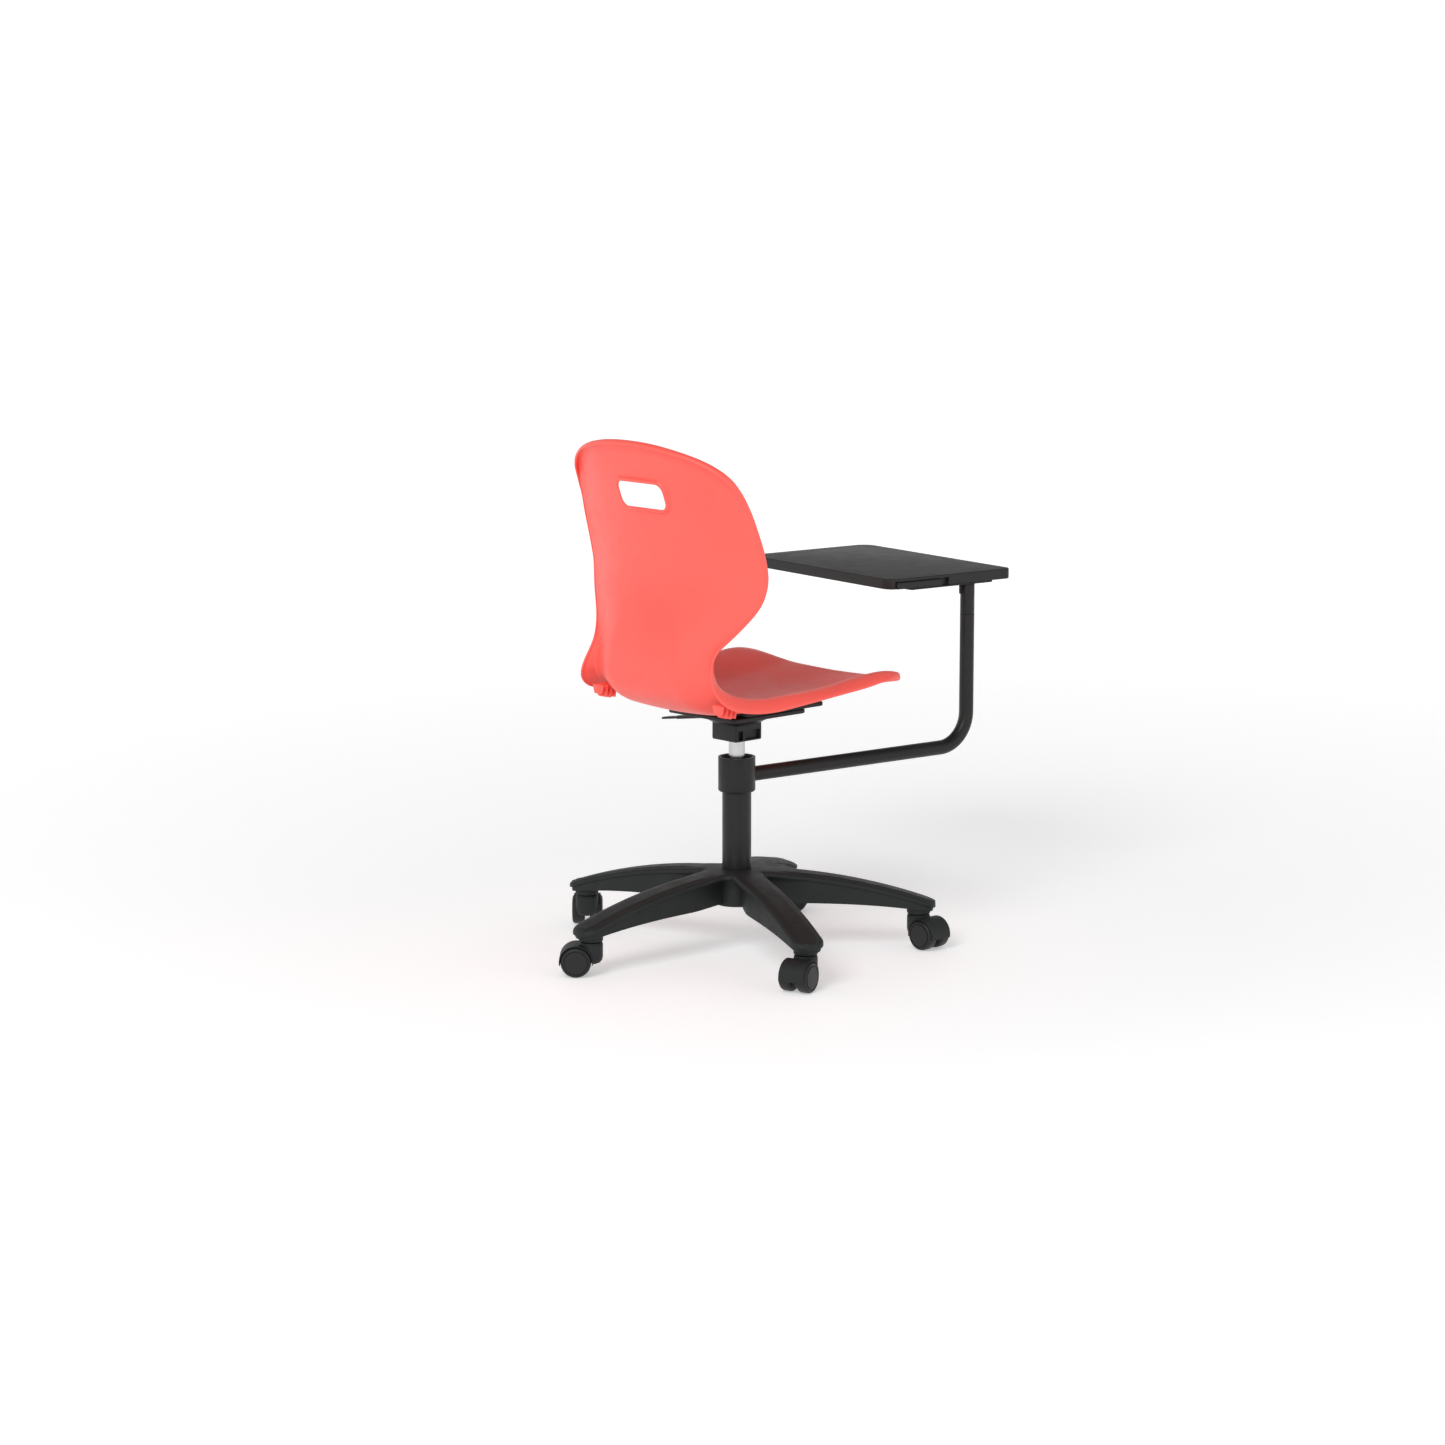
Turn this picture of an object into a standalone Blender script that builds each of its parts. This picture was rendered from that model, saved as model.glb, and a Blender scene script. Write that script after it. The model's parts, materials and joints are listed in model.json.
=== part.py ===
"""Student desk chair: moulded seat shell on a gas lift, a five-leg base on twin-wheel castors,
and a writing tablet on an arm that swivels round the column.

The chair faces -Y. X is to the sitter's left, +Z is up and the floor is z = 0. Every part is placed
from the column's own axis, which stands a little off the middle of the chair's outline.
Sizes below are in millimetres and turned into metres where a mesh is made.
"""
import math

import bmesh
import bpy
import numpy as np
from mathutils import Matrix, Vector

MM = 0.001
GAP = 0.3                        # clearance between pieces that touch

# Where the column stands in the part's frame
AXIS_X, AXIS_Y = -20.13, 140.6

# Column and gas lift
COLUMN_R, COLUMN_WALL = 25.0, 2.5
COLUMN_BOTTOM, COLUMN_TOP = 84.0, 327.0
CYLINDER_R = 14.0
CYLINDER_BOTTOM, CYLINDER_TOP = 166.0, 400.0
ROD_R = 5.0
BUSH_LENGTH = 96.0

# Seat mechanism
SOCKET_SIDE, SOCKET_BOTTOM, SOCKET_TOP = 61.0, 367.0, 389.0
BOWL_LOW_R, BOWL_HIGH_R, BOWL_TOP = 43.5, 61.0, 412.5
PLATE_SIDE, PLATE_THICK = 170.0, 7.0
PLATE_BOTTOM = 412.8
PAD_BOTTOM, PAD_THICK, PAD_FRONT, PAD_REAR = 420.1, 6.8, 117.0, 60.0
SEAT_SCREWS = ((-62, -62), (62, -62), (-62, 45), (62, 45))
SCREW_HOLE_R, SCREW_TIP = 3.3, 432.0
FRONT_BOSS_TOP, REAR_BOSS_TOP = 440.5, 434.8
LEVER_PIVOT_X, LEVER_PIVOT_Z, LEVER_REACH, LEVER_DROOP = 30.0, 404.0, 186.0, 0.15

# Base and castors
LEG_COUNT, FIRST_LEG = 5, 14.0
STEM_CIRCLE, LEG_ROOT, LEG_TIP = 315.0, 40.0, 344.0
HUB_R, HUB_BOTTOM, HUB_TOP, LEG_ROOT_TOP = 49.5, 80.0, 140.8, 142.2
LEG_BOSS_R, LEG_BOSS_BOTTOM = 20.3, 59.0
CASTOR_TRAILS = (317.0, 47.0, 108.0, 182.0, 217.0)
TRAIL, WHEEL_R, WHEEL_STEPS, WHEEL_WIDTH = 25.0, 26.0, 22, 22.5
WHEEL_GAP, HOOD_R, HOOD_WIDTH, HOOD_BOTTOM, STEM_R = 4.5, 28.6, 47.0, 20.5, 5.5

# Arm and tablet
ARM_YAW, ARM_REACH, ARM_HEIGHT = 5.9, 516.0, 302.6
TABLET_YAW = 1.2
ARM_TUBE_R, ARM_WALL, ARM_BEND_R = 12.8, 2.0, 60.0
COLLAR_R, COLLAR_BORE, COLLAR_BOTTOM, COLLAR_TOP = 32.0, 27.3, 278.0, 334.0
ARM_SEAM = 537.0
TABLET_TOP, TABLET_THICK = 615.0, 19.0
TABLET_WIDTH, TABLET_DEPTH, TABLET_CORNER, NEAR_CORNER = 421.0, 275.0, 27.0, 12.0
POST_TO_SIDE, POST_TO_FRONT = 13.0, 91.0
BRACKET_THICK, BRACKET_LENGTH, BRACKET_WIDTH = 3.0, 190.0, 64.0

# Seat shell: rows from the front edge, under the sitter, up to the top of the back.
# Each row: spine y, spine z, edge y, edge z, half width, height of the rolled edge.
SHELL_THICK = 5.0
SHELL_ROWS = (
    (-238, 457, -236, 470, 195, 5),
    (-190, 456, -186, 483, 204, 9),
    (-120, 448, -116, 472, 204, 13),
    (-40, 440, -38, 462, 203, 17),
    (40, 435, 40, 454, 200, 21),
    (100, 432, 102, 449, 196, 24),
    (150, 439, 148, 451, 190, 25),
    (190, 460, 182, 459, 184, 25),
    (213, 492, 203, 478, 175, 23),
    (220, 531, 206, 506, 163, 18),
    (214, 568, 190, 546, 152, 10),
    (203, 601, 164, 578, 172, 5),
    (190, 636, 139, 624, 204, 3),
    (183, 676, 130, 668, 216, 3),
    (186, 716, 137, 709, 218, 3),
    (196, 761, 151, 754, 215, 3),
    (212, 805, 166, 799, 209, 4),
    (230, 856, 186, 849, 205, 5),
    (243, 898, 200, 891, 202, 6),
)
SHELL_COLUMNS, SHELL_STEPS = 9, 34
TOP_CORNER, FRONT_CORNER = 86.0, 40.0
HAND_HOLE_WIDTH, HAND_HOLE_HEIGHT, HAND_HOLE_Z, HAND_HOLE_CORNER = 111.0, 42.0, 805.0, 14.0


# ---------------------------------------------------------------- scene, materials, frames
def clear_scene():
    for item in list(bpy.data.objects):
        bpy.data.objects.remove(item, do_unlink=True)


def new_collection(name):
    group = bpy.data.collections.new(name)
    bpy.context.scene.collection.children.link(group)
    return group


def new_material(name, color, roughness, metallic=0.0):
    made = bpy.data.materials.new(name)
    made.use_nodes = True
    shader = made.node_tree.nodes["Principled BSDF"]
    shader.inputs["Base Color"].default_value = (*color, 1.0)
    shader.inputs["Roughness"].default_value = roughness
    shader.inputs["Metallic"].default_value = metallic
    return made


def new_frame(name, parent=None, at=(0, 0, 0), yaw=0.0):
    """An empty that stands on a joint's axis; positions are in millimetres."""
    frame = bpy.data.objects.new(name, None)
    PARTS.objects.link(frame)
    frame.parent = parent
    frame.location = Vector(at) * MM
    frame.rotation_euler = (0, 0, math.radians(yaw))
    return frame


# ---------------------------------------------------------------- making meshes
def finish(name, bm, material, frame, group=None):
    """Turn a bmesh drawn in millimetres into an object of the chair."""
    bmesh.ops.scale(bm, vec=(MM, MM, MM), verts=bm.verts)
    mesh = bpy.data.meshes.new(name)
    bm.to_mesh(mesh)
    bm.free()
    mesh.materials.append(material)
    mesh.shade_smooth()
    mesh.set_sharp_from_angle(angle=math.radians(35))
    made = bpy.data.objects.new(name, mesh)
    (group or PARTS).objects.link(made)
    made.parent = frame
    return made


def as_cutter(made):
    made.hide_render = True
    made.display_type = "WIRE"
    return made


def block_mesh(size, center, bevel=0.0):
    bm = bmesh.new()
    bmesh.ops.create_cube(bm, size=1.0)
    bmesh.ops.scale(bm, vec=size, verts=bm.verts)
    bmesh.ops.translate(bm, vec=center, verts=bm.verts)
    if bevel:
        round_edges(bm, bm.edges, bevel)
    return bm


def round_edges(bm, edges, width, segments=2):
    bmesh.ops.bevel(bm, geom=list(edges), offset=width, offset_type="OFFSET", segments=segments,
                    profile=0.5, affect="EDGES", clamp_overlap=True, material=-1)


def rod_mesh(radius, low, high, steps=20, center=(0, 0)):
    """An upright cylinder between two heights."""
    bm = bmesh.new()
    place = Matrix.Translation((center[0], center[1], (low + high) / 2))
    bmesh.ops.create_cone(bm, cap_ends=True, segments=steps, radius1=radius, radius2=radius,
                          depth=high - low, matrix=place)
    return bm


def block(name, size, center, material, frame, bevel=0.0, group=None):
    return finish(name, block_mesh(size, center, bevel), material, frame, group)


def rod(name, radius, low, high, material, frame, steps=20, center=(0, 0), group=None):
    return finish(name, rod_mesh(radius, low, high, steps, center), material, frame, group)


def turned(name, profile, material, frame, steps=24, closed=True, group=None):
    """A profile of (radius, height) points, drawn down its outer side, turned round Z."""
    bm = bmesh.new()
    points = [bm.verts.new((radius, 0, height)) for radius, height in profile]
    for first, second in zip(points, points[1:]):
        bm.edges.new((first, second))
    if closed:
        bm.edges.new((points[-1], points[0]))
    made = finish(name, bm, material, frame, group)
    screw = made.modifiers.new("turn", "SCREW")
    screw.steps = screw.render_steps = steps
    screw.use_merge_vertices = True
    screw.merge_threshold = 0.0001
    screw.use_smooth_shade = True
    return made


def ring(name, outer, inner, low, high, material, frame, steps=24, group=None):
    profile = [(outer, high), (outer, low), (inner, low), (inner, high)]
    return turned(name, profile, material, frame, steps, True, group)


def combine(made, other, operation):
    """Join or cut with a Boolean; the other shape is kept as a hidden guide."""
    as_cutter(other)
    change = made.modifiers.new(operation.lower(), "BOOLEAN")
    change.operation = operation
    change.object = other
    change.solver = "EXACT"


def cut(made, other):
    combine(made, other, "DIFFERENCE")


def join(made, other):
    combine(made, other, "UNION")


def bent_tube(name, points, radius, material, frame, group=None, resolution=8):
    """A tube along a path of points, made a mesh so that it can be cut."""
    curve = bpy.data.curves.new(name, "CURVE")
    curve.dimensions = "3D"
    curve.bevel_depth = radius * MM
    curve.bevel_resolution = resolution
    curve.use_fill_caps = True
    spline = curve.splines.new("POLY")
    spline.points.add(len(points) - 1)
    for point, place in zip(spline.points, points):
        point.co = (*(Vector(place) * MM), 1.0)
    drawn = bpy.data.objects.new(name + "_path", curve)
    bpy.context.scene.collection.objects.link(drawn)
    evaluated = drawn.evaluated_get(bpy.context.evaluated_depsgraph_get())
    mesh = bpy.data.meshes.new_from_object(evaluated)
    bpy.data.objects.remove(drawn, do_unlink=True)
    bm = bmesh.new()
    bm.from_mesh(mesh)
    bmesh.ops.remove_doubles(bm, verts=bm.verts, dist=0.00001)
    bmesh.ops.recalc_face_normals(bm, faces=bm.faces)
    bmesh.ops.scale(bm, vec=(1 / MM, 1 / MM, 1 / MM), verts=bm.verts)
    return finish(name, bm, material, frame, group)


# ---------------------------------------------------------------- five-leg base
def leg_section(reach):
    """Half widths and heights of a leg at a distance from the column."""
    along = reach / LEG_TIP
    tip = min(1.0, max(0.0, (LEG_TIP - reach) / 25.0))
    rounding = math.sqrt(max(0.0, 1.0 - (1.0 - tip) ** 2))
    half = (29.0 - 3.5 * along) * max(rounding, 0.25)
    top = LEG_ROOT_TOP - 9.0 * along - 53.0 * along ** 2.2
    low = HUB_BOTTOM + 4.3 - along - 20.0 * along ** 3
    return half, top, low


def leg_mesh(start, end, lip, count=11):
    """A leg along +X: a cap with a lip over narrower walls, drawn by extruding its section."""
    bm = bmesh.new()
    face = None
    for step in range(count + 1):
        reach = start + (end - start) * math.sin(0.5 * math.pi * step / count) ** 0.9
        half, top, low = leg_section(reach)
        wall = max(half - lip, 2.0)
        outline = [(-half, top - 5), (-half + 4, top - 0.8), (0, top), (half - 4, top - 0.8),
                   (half, top - 5), (wall, top - 8), (wall - 1, low), (-wall + 1, low),
                   (-wall, top - 8)]
        if face is None:
            corners = [bm.verts.new((reach, y, z)) for y, z in outline]
            face = bm.faces.new(corners)
            continue
        grown = bmesh.ops.extrude_face_region(bm, geom=[face])["geom"]
        old_face, face = face, next(item for item in grown if isinstance(item, bmesh.types.BMFace))
        moved = [loop.vert for loop in face.loops]
        for corner, (y, z) in zip(moved, outline):
            corner.co = (reach, y, z)
        if step > 1:
            bm.faces.remove(old_face)
    bmesh.ops.recalc_face_normals(bm, faces=bm.faces)
    return bm


def build_base(frame):
    bore = COLUMN_R + GAP
    profile = [(HUB_R - 3.5, HUB_TOP), (HUB_R + 3, HUB_TOP - 3.3), (HUB_R + 3, HUB_TOP - 7),
               (HUB_R, HUB_TOP - 10), (HUB_R, HUB_BOTTOM), (bore, HUB_BOTTOM), (bore, HUB_TOP - 3),
               (bore + 3, HUB_TOP)]
    made = turned("base_star", profile, NYLON, frame, 30, True)
    for index in range(LEG_COUNT):
        angle = FIRST_LEG + index * 360.0 / LEG_COUNT
        turn = new_frame(f"leg_{index + 1}_axis", frame, yaw=angle)
        join(made, finish(f"leg_{index + 1}", leg_mesh(LEG_ROOT, LEG_TIP, 3.5), NYLON, turn, GUIDES))
        boss = rod(f"leg_boss_{index + 1}", LEG_BOSS_R, LEG_BOSS_BOTTOM, 76.0, NYLON, turn, 20,
                   (STEM_CIRCLE, 0), GUIDES)
        join(made, boss)
    for index in range(LEG_COUNT):
        turn = bpy.data.objects[f"leg_{index + 1}_axis"]
        pocket = finish(f"leg_pocket_{index + 1}", pocket_mesh(), NYLON, turn, GUIDES)
        cut(made, pocket)
        socket = rod(f"stem_socket_{index + 1}", STEM_R + GAP, 50.0, 78.0, NYLON, turn, 12,
                     (STEM_CIRCLE, 0), GUIDES)
        cut(made, socket)
    return made


def pocket_mesh():
    """The hollow under a leg, open downwards."""
    bm = bmesh.new()
    bmesh.ops.create_cube(bm, size=1.0)
    start, end = HUB_R + 12.0, STEM_CIRCLE - LEG_BOSS_R - 8.0
    bmesh.ops.subdivide_edges(bm, edges=[e for e in bm.edges if abs(e.verts[0].co.x - e.verts[1].co.x) > 0.5],
                              cuts=4, use_grid_fill=True)
    for corner in bm.verts:
        reach = start + (end - start) * (corner.co.x + 0.5)
        half, top, _ = leg_section(reach)
        corner.co.y = math.copysign(half - 9.0, corner.co.y)
        corner.co.z = top - 10.0 if corner.co.z > 0 else 40.0
        corner.co.x = reach
    return bm


# ---------------------------------------------------------------- castors
AXLE_HEIGHT = WHEEL_R * math.cos(math.pi / WHEEL_STEPS)


def sideways(made, at):
    """Lay a piece that was turned round Z along the axle."""
    made.rotation_euler = (math.radians(-90), 0, 0)
    made.location = Vector(at) * MM


def build_castor(index, base_frame):
    angle = math.radians(FIRST_LEG + index * 360.0 / LEG_COUNT)
    at = (STEM_CIRCLE * math.cos(angle), STEM_CIRCLE * math.sin(angle), 0)
    frame = new_frame(f"castor_{index + 1}_swivel", base_frame, at, CASTOR_TRAILS[index])
    name = f"castor_{index + 1}_"
    stem_profile = [(0, 76), (STEM_R, 76), (STEM_R, 58.6), (9, 58.6), (9, 57.4), (STEM_R, 57.4),
                    (STEM_R, 44), (0, 44)]
    turned(name + "stem", stem_profile, STEEL, frame, 12, False)

    axle_at = (TRAIL, 0, AXLE_HEIGHT)
    hood = rod(name + "hood", 20.0, 16.0, 57.0, NYLON, frame, 20)
    round_corners = hood.modifiers.new("round", "BEVEL")
    round_corners.width, round_corners.segments = 3 * MM, 1
    drum = rod(name + "drum", HOOD_R, -HOOD_WIDTH / 2, HOOD_WIDTH / 2, NYLON, frame, 20, group=GUIDES)
    sideways(drum, axle_at)
    join(hood, drum)
    below = block(name + "below", (140, 80, 40), (TRAIL, 0, HOOD_BOTTOM - 20), NYLON, frame, 0, GUIDES)
    cut(hood, below)
    for word, start, end in (("right", -40.0, -3.0), ("left", 3.0, 40.0)):
        well = rod(name + f"well_{word}", WHEEL_R + 1.2, start, end, NYLON, frame, 20, group=GUIDES)
        sideways(well, axle_at)
        cut(hood, well)
    bore = rod(name + "axle_bore", 3.0 + GAP, -10, 10, NYLON, frame, 12, group=GUIDES)
    sideways(bore, axle_at)
    cut(hood, bore)
    stem_bore = rod(name + "stem_bore", STEM_R + GAP, 43.0, 70.0, NYLON, frame, 12, group=GUIDES)
    cut(hood, stem_bore)

    axle = rod(name + "axle", 3.0, -20.0, 20.0, STEEL, frame, 12)
    sideways(axle, axle_at)
    for side, word in ((-1, "wheel_right"), (1, "wheel_left")):
        inner, outer = WHEEL_GAP, WHEEL_GAP + WHEEL_WIDTH
        hub_end = outer - 6.0
        profile = [(0, outer), (19.0, outer - 0.8), (24.0, outer - 4.5), (WHEEL_R, outer - 11.0),
                   (WHEEL_R, inner + 3.0), (23.5, inner),
                   (3.0 + GAP, inner), (3.0 + GAP, hub_end), (0, hub_end)]
        wheel = turned(name + word, profile, WHEEL, frame, WHEEL_STEPS, False)
        sideways(wheel, axle_at)
        if side < 0:
            wheel.rotation_euler = (math.radians(90), 0, 0)


# ---------------------------------------------------------------- column and gas lift
def build_column(frame):
    outer, inner = COLUMN_R, COLUMN_R - COLUMN_WALL
    floor_top = COLUMN_BOTTOM + 3.0
    profile = [(outer, COLUMN_TOP), (outer, COLUMN_BOTTOM), (ROD_R + GAP, COLUMN_BOTTOM),
               (ROD_R + GAP, floor_top), (inner, floor_top), (inner, COLUMN_TOP)]
    turned("column_tube", profile, BLACK_STEEL, frame, 32)
    ring("guide_bush", inner - GAP, CYLINDER_R + GAP, COLUMN_TOP - BUSH_LENGTH, COLUMN_TOP - 1, NYLON, frame)
    ring("thrust_bearing", 12.0, ROD_R + GAP, floor_top + GAP, floor_top + 6, STEEL, frame)
    ring("retaining_clip", 10.0, ROD_R + GAP, COLUMN_BOTTOM - 2.2, COLUMN_BOTTOM - GAP, STEEL, frame, 20)


def build_lift(frame):
    washer_low = COLUMN_BOTTOM + 3.0 + 6.0 + GAP
    rod_profile = [(0, 316), (ROD_R, 316), (ROD_R, washer_low + 4), (11, washer_low + 4), (11, washer_low),
                   (ROD_R, washer_low), (ROD_R, COLUMN_BOTTOM - 6), (0, COLUMN_BOTTOM - 6)]
    turned("piston_rod", rod_profile, STEEL, frame, 20, False)
    ring("bump_stop", 12.0, ROD_R + GAP, washer_low + 4 + GAP, washer_low + 22, RUBBER, frame)
    top = CYLINDER_TOP
    profile = [(0, top - 12), (4, top - 12), (4, top), (11.5, top), (CYLINDER_R, top - 34),
               (CYLINDER_R, CYLINDER_BOTTOM + 2), (CYLINDER_R - 2, CYLINDER_BOTTOM),
               (ROD_R + GAP, CYLINDER_BOTTOM), (ROD_R + GAP, 326), (0, 326)]
    turned("gas_cylinder", profile, CHROME, frame, 28, False)
    button = [(0, top + 4), (3.2, top + 4), (3.2, top - 7.5), (0, top - 7.5)]
    turned("release_button", button, STEEL, frame, 16, False)


# ---------------------------------------------------------------- seat mechanism
def build_mechanism(frame):
    half = SOCKET_SIDE / 2
    housing = turned("mechanism_housing",
                     [(0, SOCKET_TOP + 4), (BOWL_LOW_R - 6, SOCKET_TOP + 4), (BOWL_HIGH_R - 4, BOWL_TOP),
                      (BOWL_HIGH_R, BOWL_TOP), (BOWL_HIGH_R, BOWL_TOP - 7), (BOWL_LOW_R, SOCKET_TOP),
                      (0, SOCKET_TOP)], BLACK_STEEL, frame, 28, False)
    socket = block("socket_block", (SOCKET_SIDE, SOCKET_SIDE, SOCKET_TOP - SOCKET_BOTTOM + 3),
                   (0, 0, (SOCKET_BOTTOM + SOCKET_TOP + 3) / 2), BLACK_STEEL, frame, 2.5, GUIDES)
    join(housing, socket)
    for side in (-1, 1):
        window = block(f"socket_window_{side + 1}", (9, 22, 16), (-half + 3, side * 14.0, 378), BLACK_STEEL,
                       frame, 0, GUIDES)
        cut(housing, window)
    taper = turned("socket_taper", [(0, 416), (11.5 + GAP, 416), (11.5 + GAP, CYLINDER_TOP),
                                    (CYLINDER_R + GAP, CYLINDER_TOP - 34), (CYLINDER_R + GAP, 350), (0, 350)],
                   BLACK_STEEL, frame, 28, False, GUIDES)
    cut(housing, taper)
    slot = block("lever_slot", (40, 19, 14.5), (62, 0, LEVER_PIVOT_Z - 3.2), BLACK_STEEL, frame, 0, GUIDES)
    cut(housing, slot)
    for side in (-1, 1):
        lug = block(f"lever_lug_{side + 1}", (9, 4, 18), (LEVER_PIVOT_X, side * 12.5, LEVER_PIVOT_Z - 4),
                    BLACK_STEEL, frame, 0, GUIDES)
        join(housing, lug)
    pin_bore = rod("lever_pin_bore", 2.3, -16, 16, BLACK_STEEL, frame, 12, group=GUIDES)
    sideways(pin_bore, (LEVER_PIVOT_X, 0, LEVER_PIVOT_Z))
    cut(housing, pin_bore)

    plate = block("seat_plate", (PLATE_SIDE, PLATE_SIDE, PLATE_THICK),
                  (0, 0, PLATE_BOTTOM + PLATE_THICK / 2), BLACK_STEEL, frame, 1.5)
    pad_length = PAD_FRONT + PAD_REAR
    pad = block("seat_pad", (PLATE_SIDE + 4, pad_length, PAD_THICK),
                (0, (PAD_REAR - PAD_FRONT) / 2, PAD_BOTTOM + PAD_THICK / 2), NYLON, frame, 2.5)
    for number, spot in enumerate(SEAT_SCREWS, 1):
        for piece in (plate, pad):
            hole = rod(f"{piece.name}_hole_{number}", SCREW_HOLE_R, 400, 429, STEEL, frame, 12, spot, GUIDES)
            cut(piece, hole)
        head_top = PLATE_BOTTOM - GAP
        profile = [(0, SCREW_TIP), (3.0, SCREW_TIP), (3.0, head_top), (6.0, head_top), (5.0, head_top - 3.5),
                   (0, head_top - 3.5)]
        screw = turned(f"seat_screw_{number}", profile, STEEL, frame, 12, False)
        screw.location = Vector((*spot, 0)) * MM


def build_lever(frame):
    """The lever rocks on a pin; its short finger stands over the release button."""
    pivot = new_frame("lever_axis", frame, (LEVER_PIVOT_X, 0, LEVER_PIVOT_Z))
    finger = block_mesh((LEVER_PIVOT_X + 6, 9, 3.0), (-(LEVER_PIVOT_X + 6) / 2 + 3, 0, 2.6))
    made = finish("lift_lever", finger, BLACK_STEEL, pivot)
    reach = LEVER_REACH - LEVER_PIVOT_X
    tilt = math.atan(LEVER_DROOP)
    for name, start, end, width, thick in (("lever_arm", -4, reach - 36, 12, 6), ("lever_blade", 40, reach, 20, 3.6)):
        bar = block_mesh((end - start, width, thick), ((start + end) / 2, 0, 0), 1.0)
        bmesh.ops.rotate(bar, cent=(0, 0, 0), matrix=Matrix.Rotation(tilt, 3, "Y"), verts=bar.verts)
        join(made, finish(name, bar, BLACK_STEEL, pivot, GUIDES))
    bore = rod("lever_bore", 2.0 + 0.1, -12, 12, STEEL, pivot, 12, group=GUIDES)
    sideways(bore, (0, 0, 0))
    cut(made, bore)
    pin = rod("lever_pin", 2.0, -14, 14, STEEL, pivot, 12)
    sideways(pin, (0, 0, 0))


# ---------------------------------------------------------------- seat shell
def smooth_value(at, knots, values):
    """A curve through the rows' values, without corners."""
    slopes = np.gradient(values, knots)
    index = int(np.clip(np.searchsorted(knots, at) - 1, 0, len(knots) - 2))
    span = knots[index + 1] - knots[index]
    t = (at - knots[index]) / span
    low, high = values[index], values[index + 1]
    blend = t * t * (3 - 2 * t)
    return (low + (high - low) * blend + span * slopes[index] * t * (1 - t) ** 2
            - span * slopes[index + 1] * t * t * (1 - t))


def corner_inset(across, size, power):
    """How far a rounded end falls back at a distance across the shell, 0 to 1."""
    return size * (1.0 - (1.0 - min(across, 1.0) ** power) ** (1.0 / power))


def shell_point(along, across, rows, knots):
    """A point of the sitting surface: along 0 to 1 from front to top, across -1 to 1."""
    side = abs(across)
    length = knots[-1]
    first = corner_inset(side, FRONT_CORNER, 3.2)
    last = length - corner_inset(side, TOP_CORNER, 2.2)
    at = first + (last - first) * along
    spine_y, spine_z, edge_y, edge_z, half, roll = (smooth_value(at, knots, rows[:, k]) for k in range(6))
    ahead = [smooth_value(min(at + 4, length), knots, rows[:, k]) for k in (0, 1)]
    behind = [smooth_value(max(at - 4, 0), knots, rows[:, k]) for k in (0, 1)]
    tangent = Vector((ahead[0] - behind[0], ahead[1] - behind[1])).normalized()
    dish = side ** (1.6 + 0.6 * along)
    ridge = 0.86
    rise = min(1.0, max(0.0, (side - 0.45) / (ridge - 0.45)))
    crest = rise * rise * (3 - 2 * rise)
    if side > ridge:
        crest = 1.0 - ((side - ridge) / (1.0 - ridge)) ** 2
    y = spine_y + (edge_y - spine_y) * dish - tangent.y * roll * crest
    z = spine_z + (edge_z - spine_z) * dish + tangent.x * roll * crest
    return (half * across, y, z)


def shell_grid(columns, steps):
    rows = np.array(SHELL_ROWS, dtype=float)
    spans = np.hypot(np.diff(rows[:, 0]), np.diff(rows[:, 1]))
    knots = np.concatenate([[0.0], np.cumsum(spans)])
    bm = bmesh.new()
    bmesh.ops.create_grid(bm, x_segments=2 * columns, y_segments=steps, size=1.0)
    for corner in bm.verts:
        across = math.copysign(math.sin(0.5 * math.pi * abs(corner.co.x)), corner.co.x)
        along = 0.5 * (corner.co.y + 1.0)
        corner.co = shell_point(along, across, rows, knots)
    bmesh.ops.recalc_face_normals(bm, faces=bm.faces)
    middle = min(bm.faces, key=lambda face: (face.calc_center_median() - Vector((0, 0, 440))).length)
    if middle.normal.z < 0:
        bmesh.ops.reverse_faces(bm, faces=bm.faces)
    return bm


def rounded_prism(width, height, corner, low, high):
    """A rounded rectangle in X and Z, as deep as low to high along Y."""
    bm = bmesh.new()
    bmesh.ops.create_cube(bm, size=1.0)
    bmesh.ops.scale(bm, vec=(width, high - low, height), verts=bm.verts)
    bmesh.ops.translate(bm, vec=(0, (low + high) / 2, 0), verts=bm.verts)
    uprights = [e for e in bm.edges if abs(e.verts[0].co.y - e.verts[1].co.y) > 1]
    round_edges(bm, uprights, corner, 4)
    return bm


def build_shell(frame):
    made = finish("seat_shell", shell_grid(SHELL_COLUMNS, SHELL_STEPS), SHELL_PLASTIC, frame)
    wall = made.modifiers.new("wall", "SOLIDIFY")
    wall.thickness = SHELL_THICK * MM
    wall.offset = -1.0
    hole = finish("hand_hole", rounded_prism(HAND_HOLE_WIDTH, HAND_HOLE_HEIGHT, HAND_HOLE_CORNER, 150, 260),
                  SHELL_PLASTIC, frame, GUIDES)
    hole.location.z = HAND_HOLE_Z * MM
    cut(made, hole)
    for number, (x, y) in enumerate(SEAT_SCREWS, 1):
        boss_low = PAD_BOTTOM + PAD_THICK + GAP
        boss_top = FRONT_BOSS_TOP if y < 0 else REAR_BOSS_TOP
        join(made, rod(f"shell_boss_{number}", 9.0, boss_low, boss_top, SHELL_PLASTIC, frame, 16, (x, y), GUIDES))
        cut(made, rod(f"shell_thread_{number}", SCREW_HOLE_R, 420.0, SCREW_TIP + 0.6, SHELL_PLASTIC, frame, 12,
                      (x, y), GUIDES))
    return made


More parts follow.
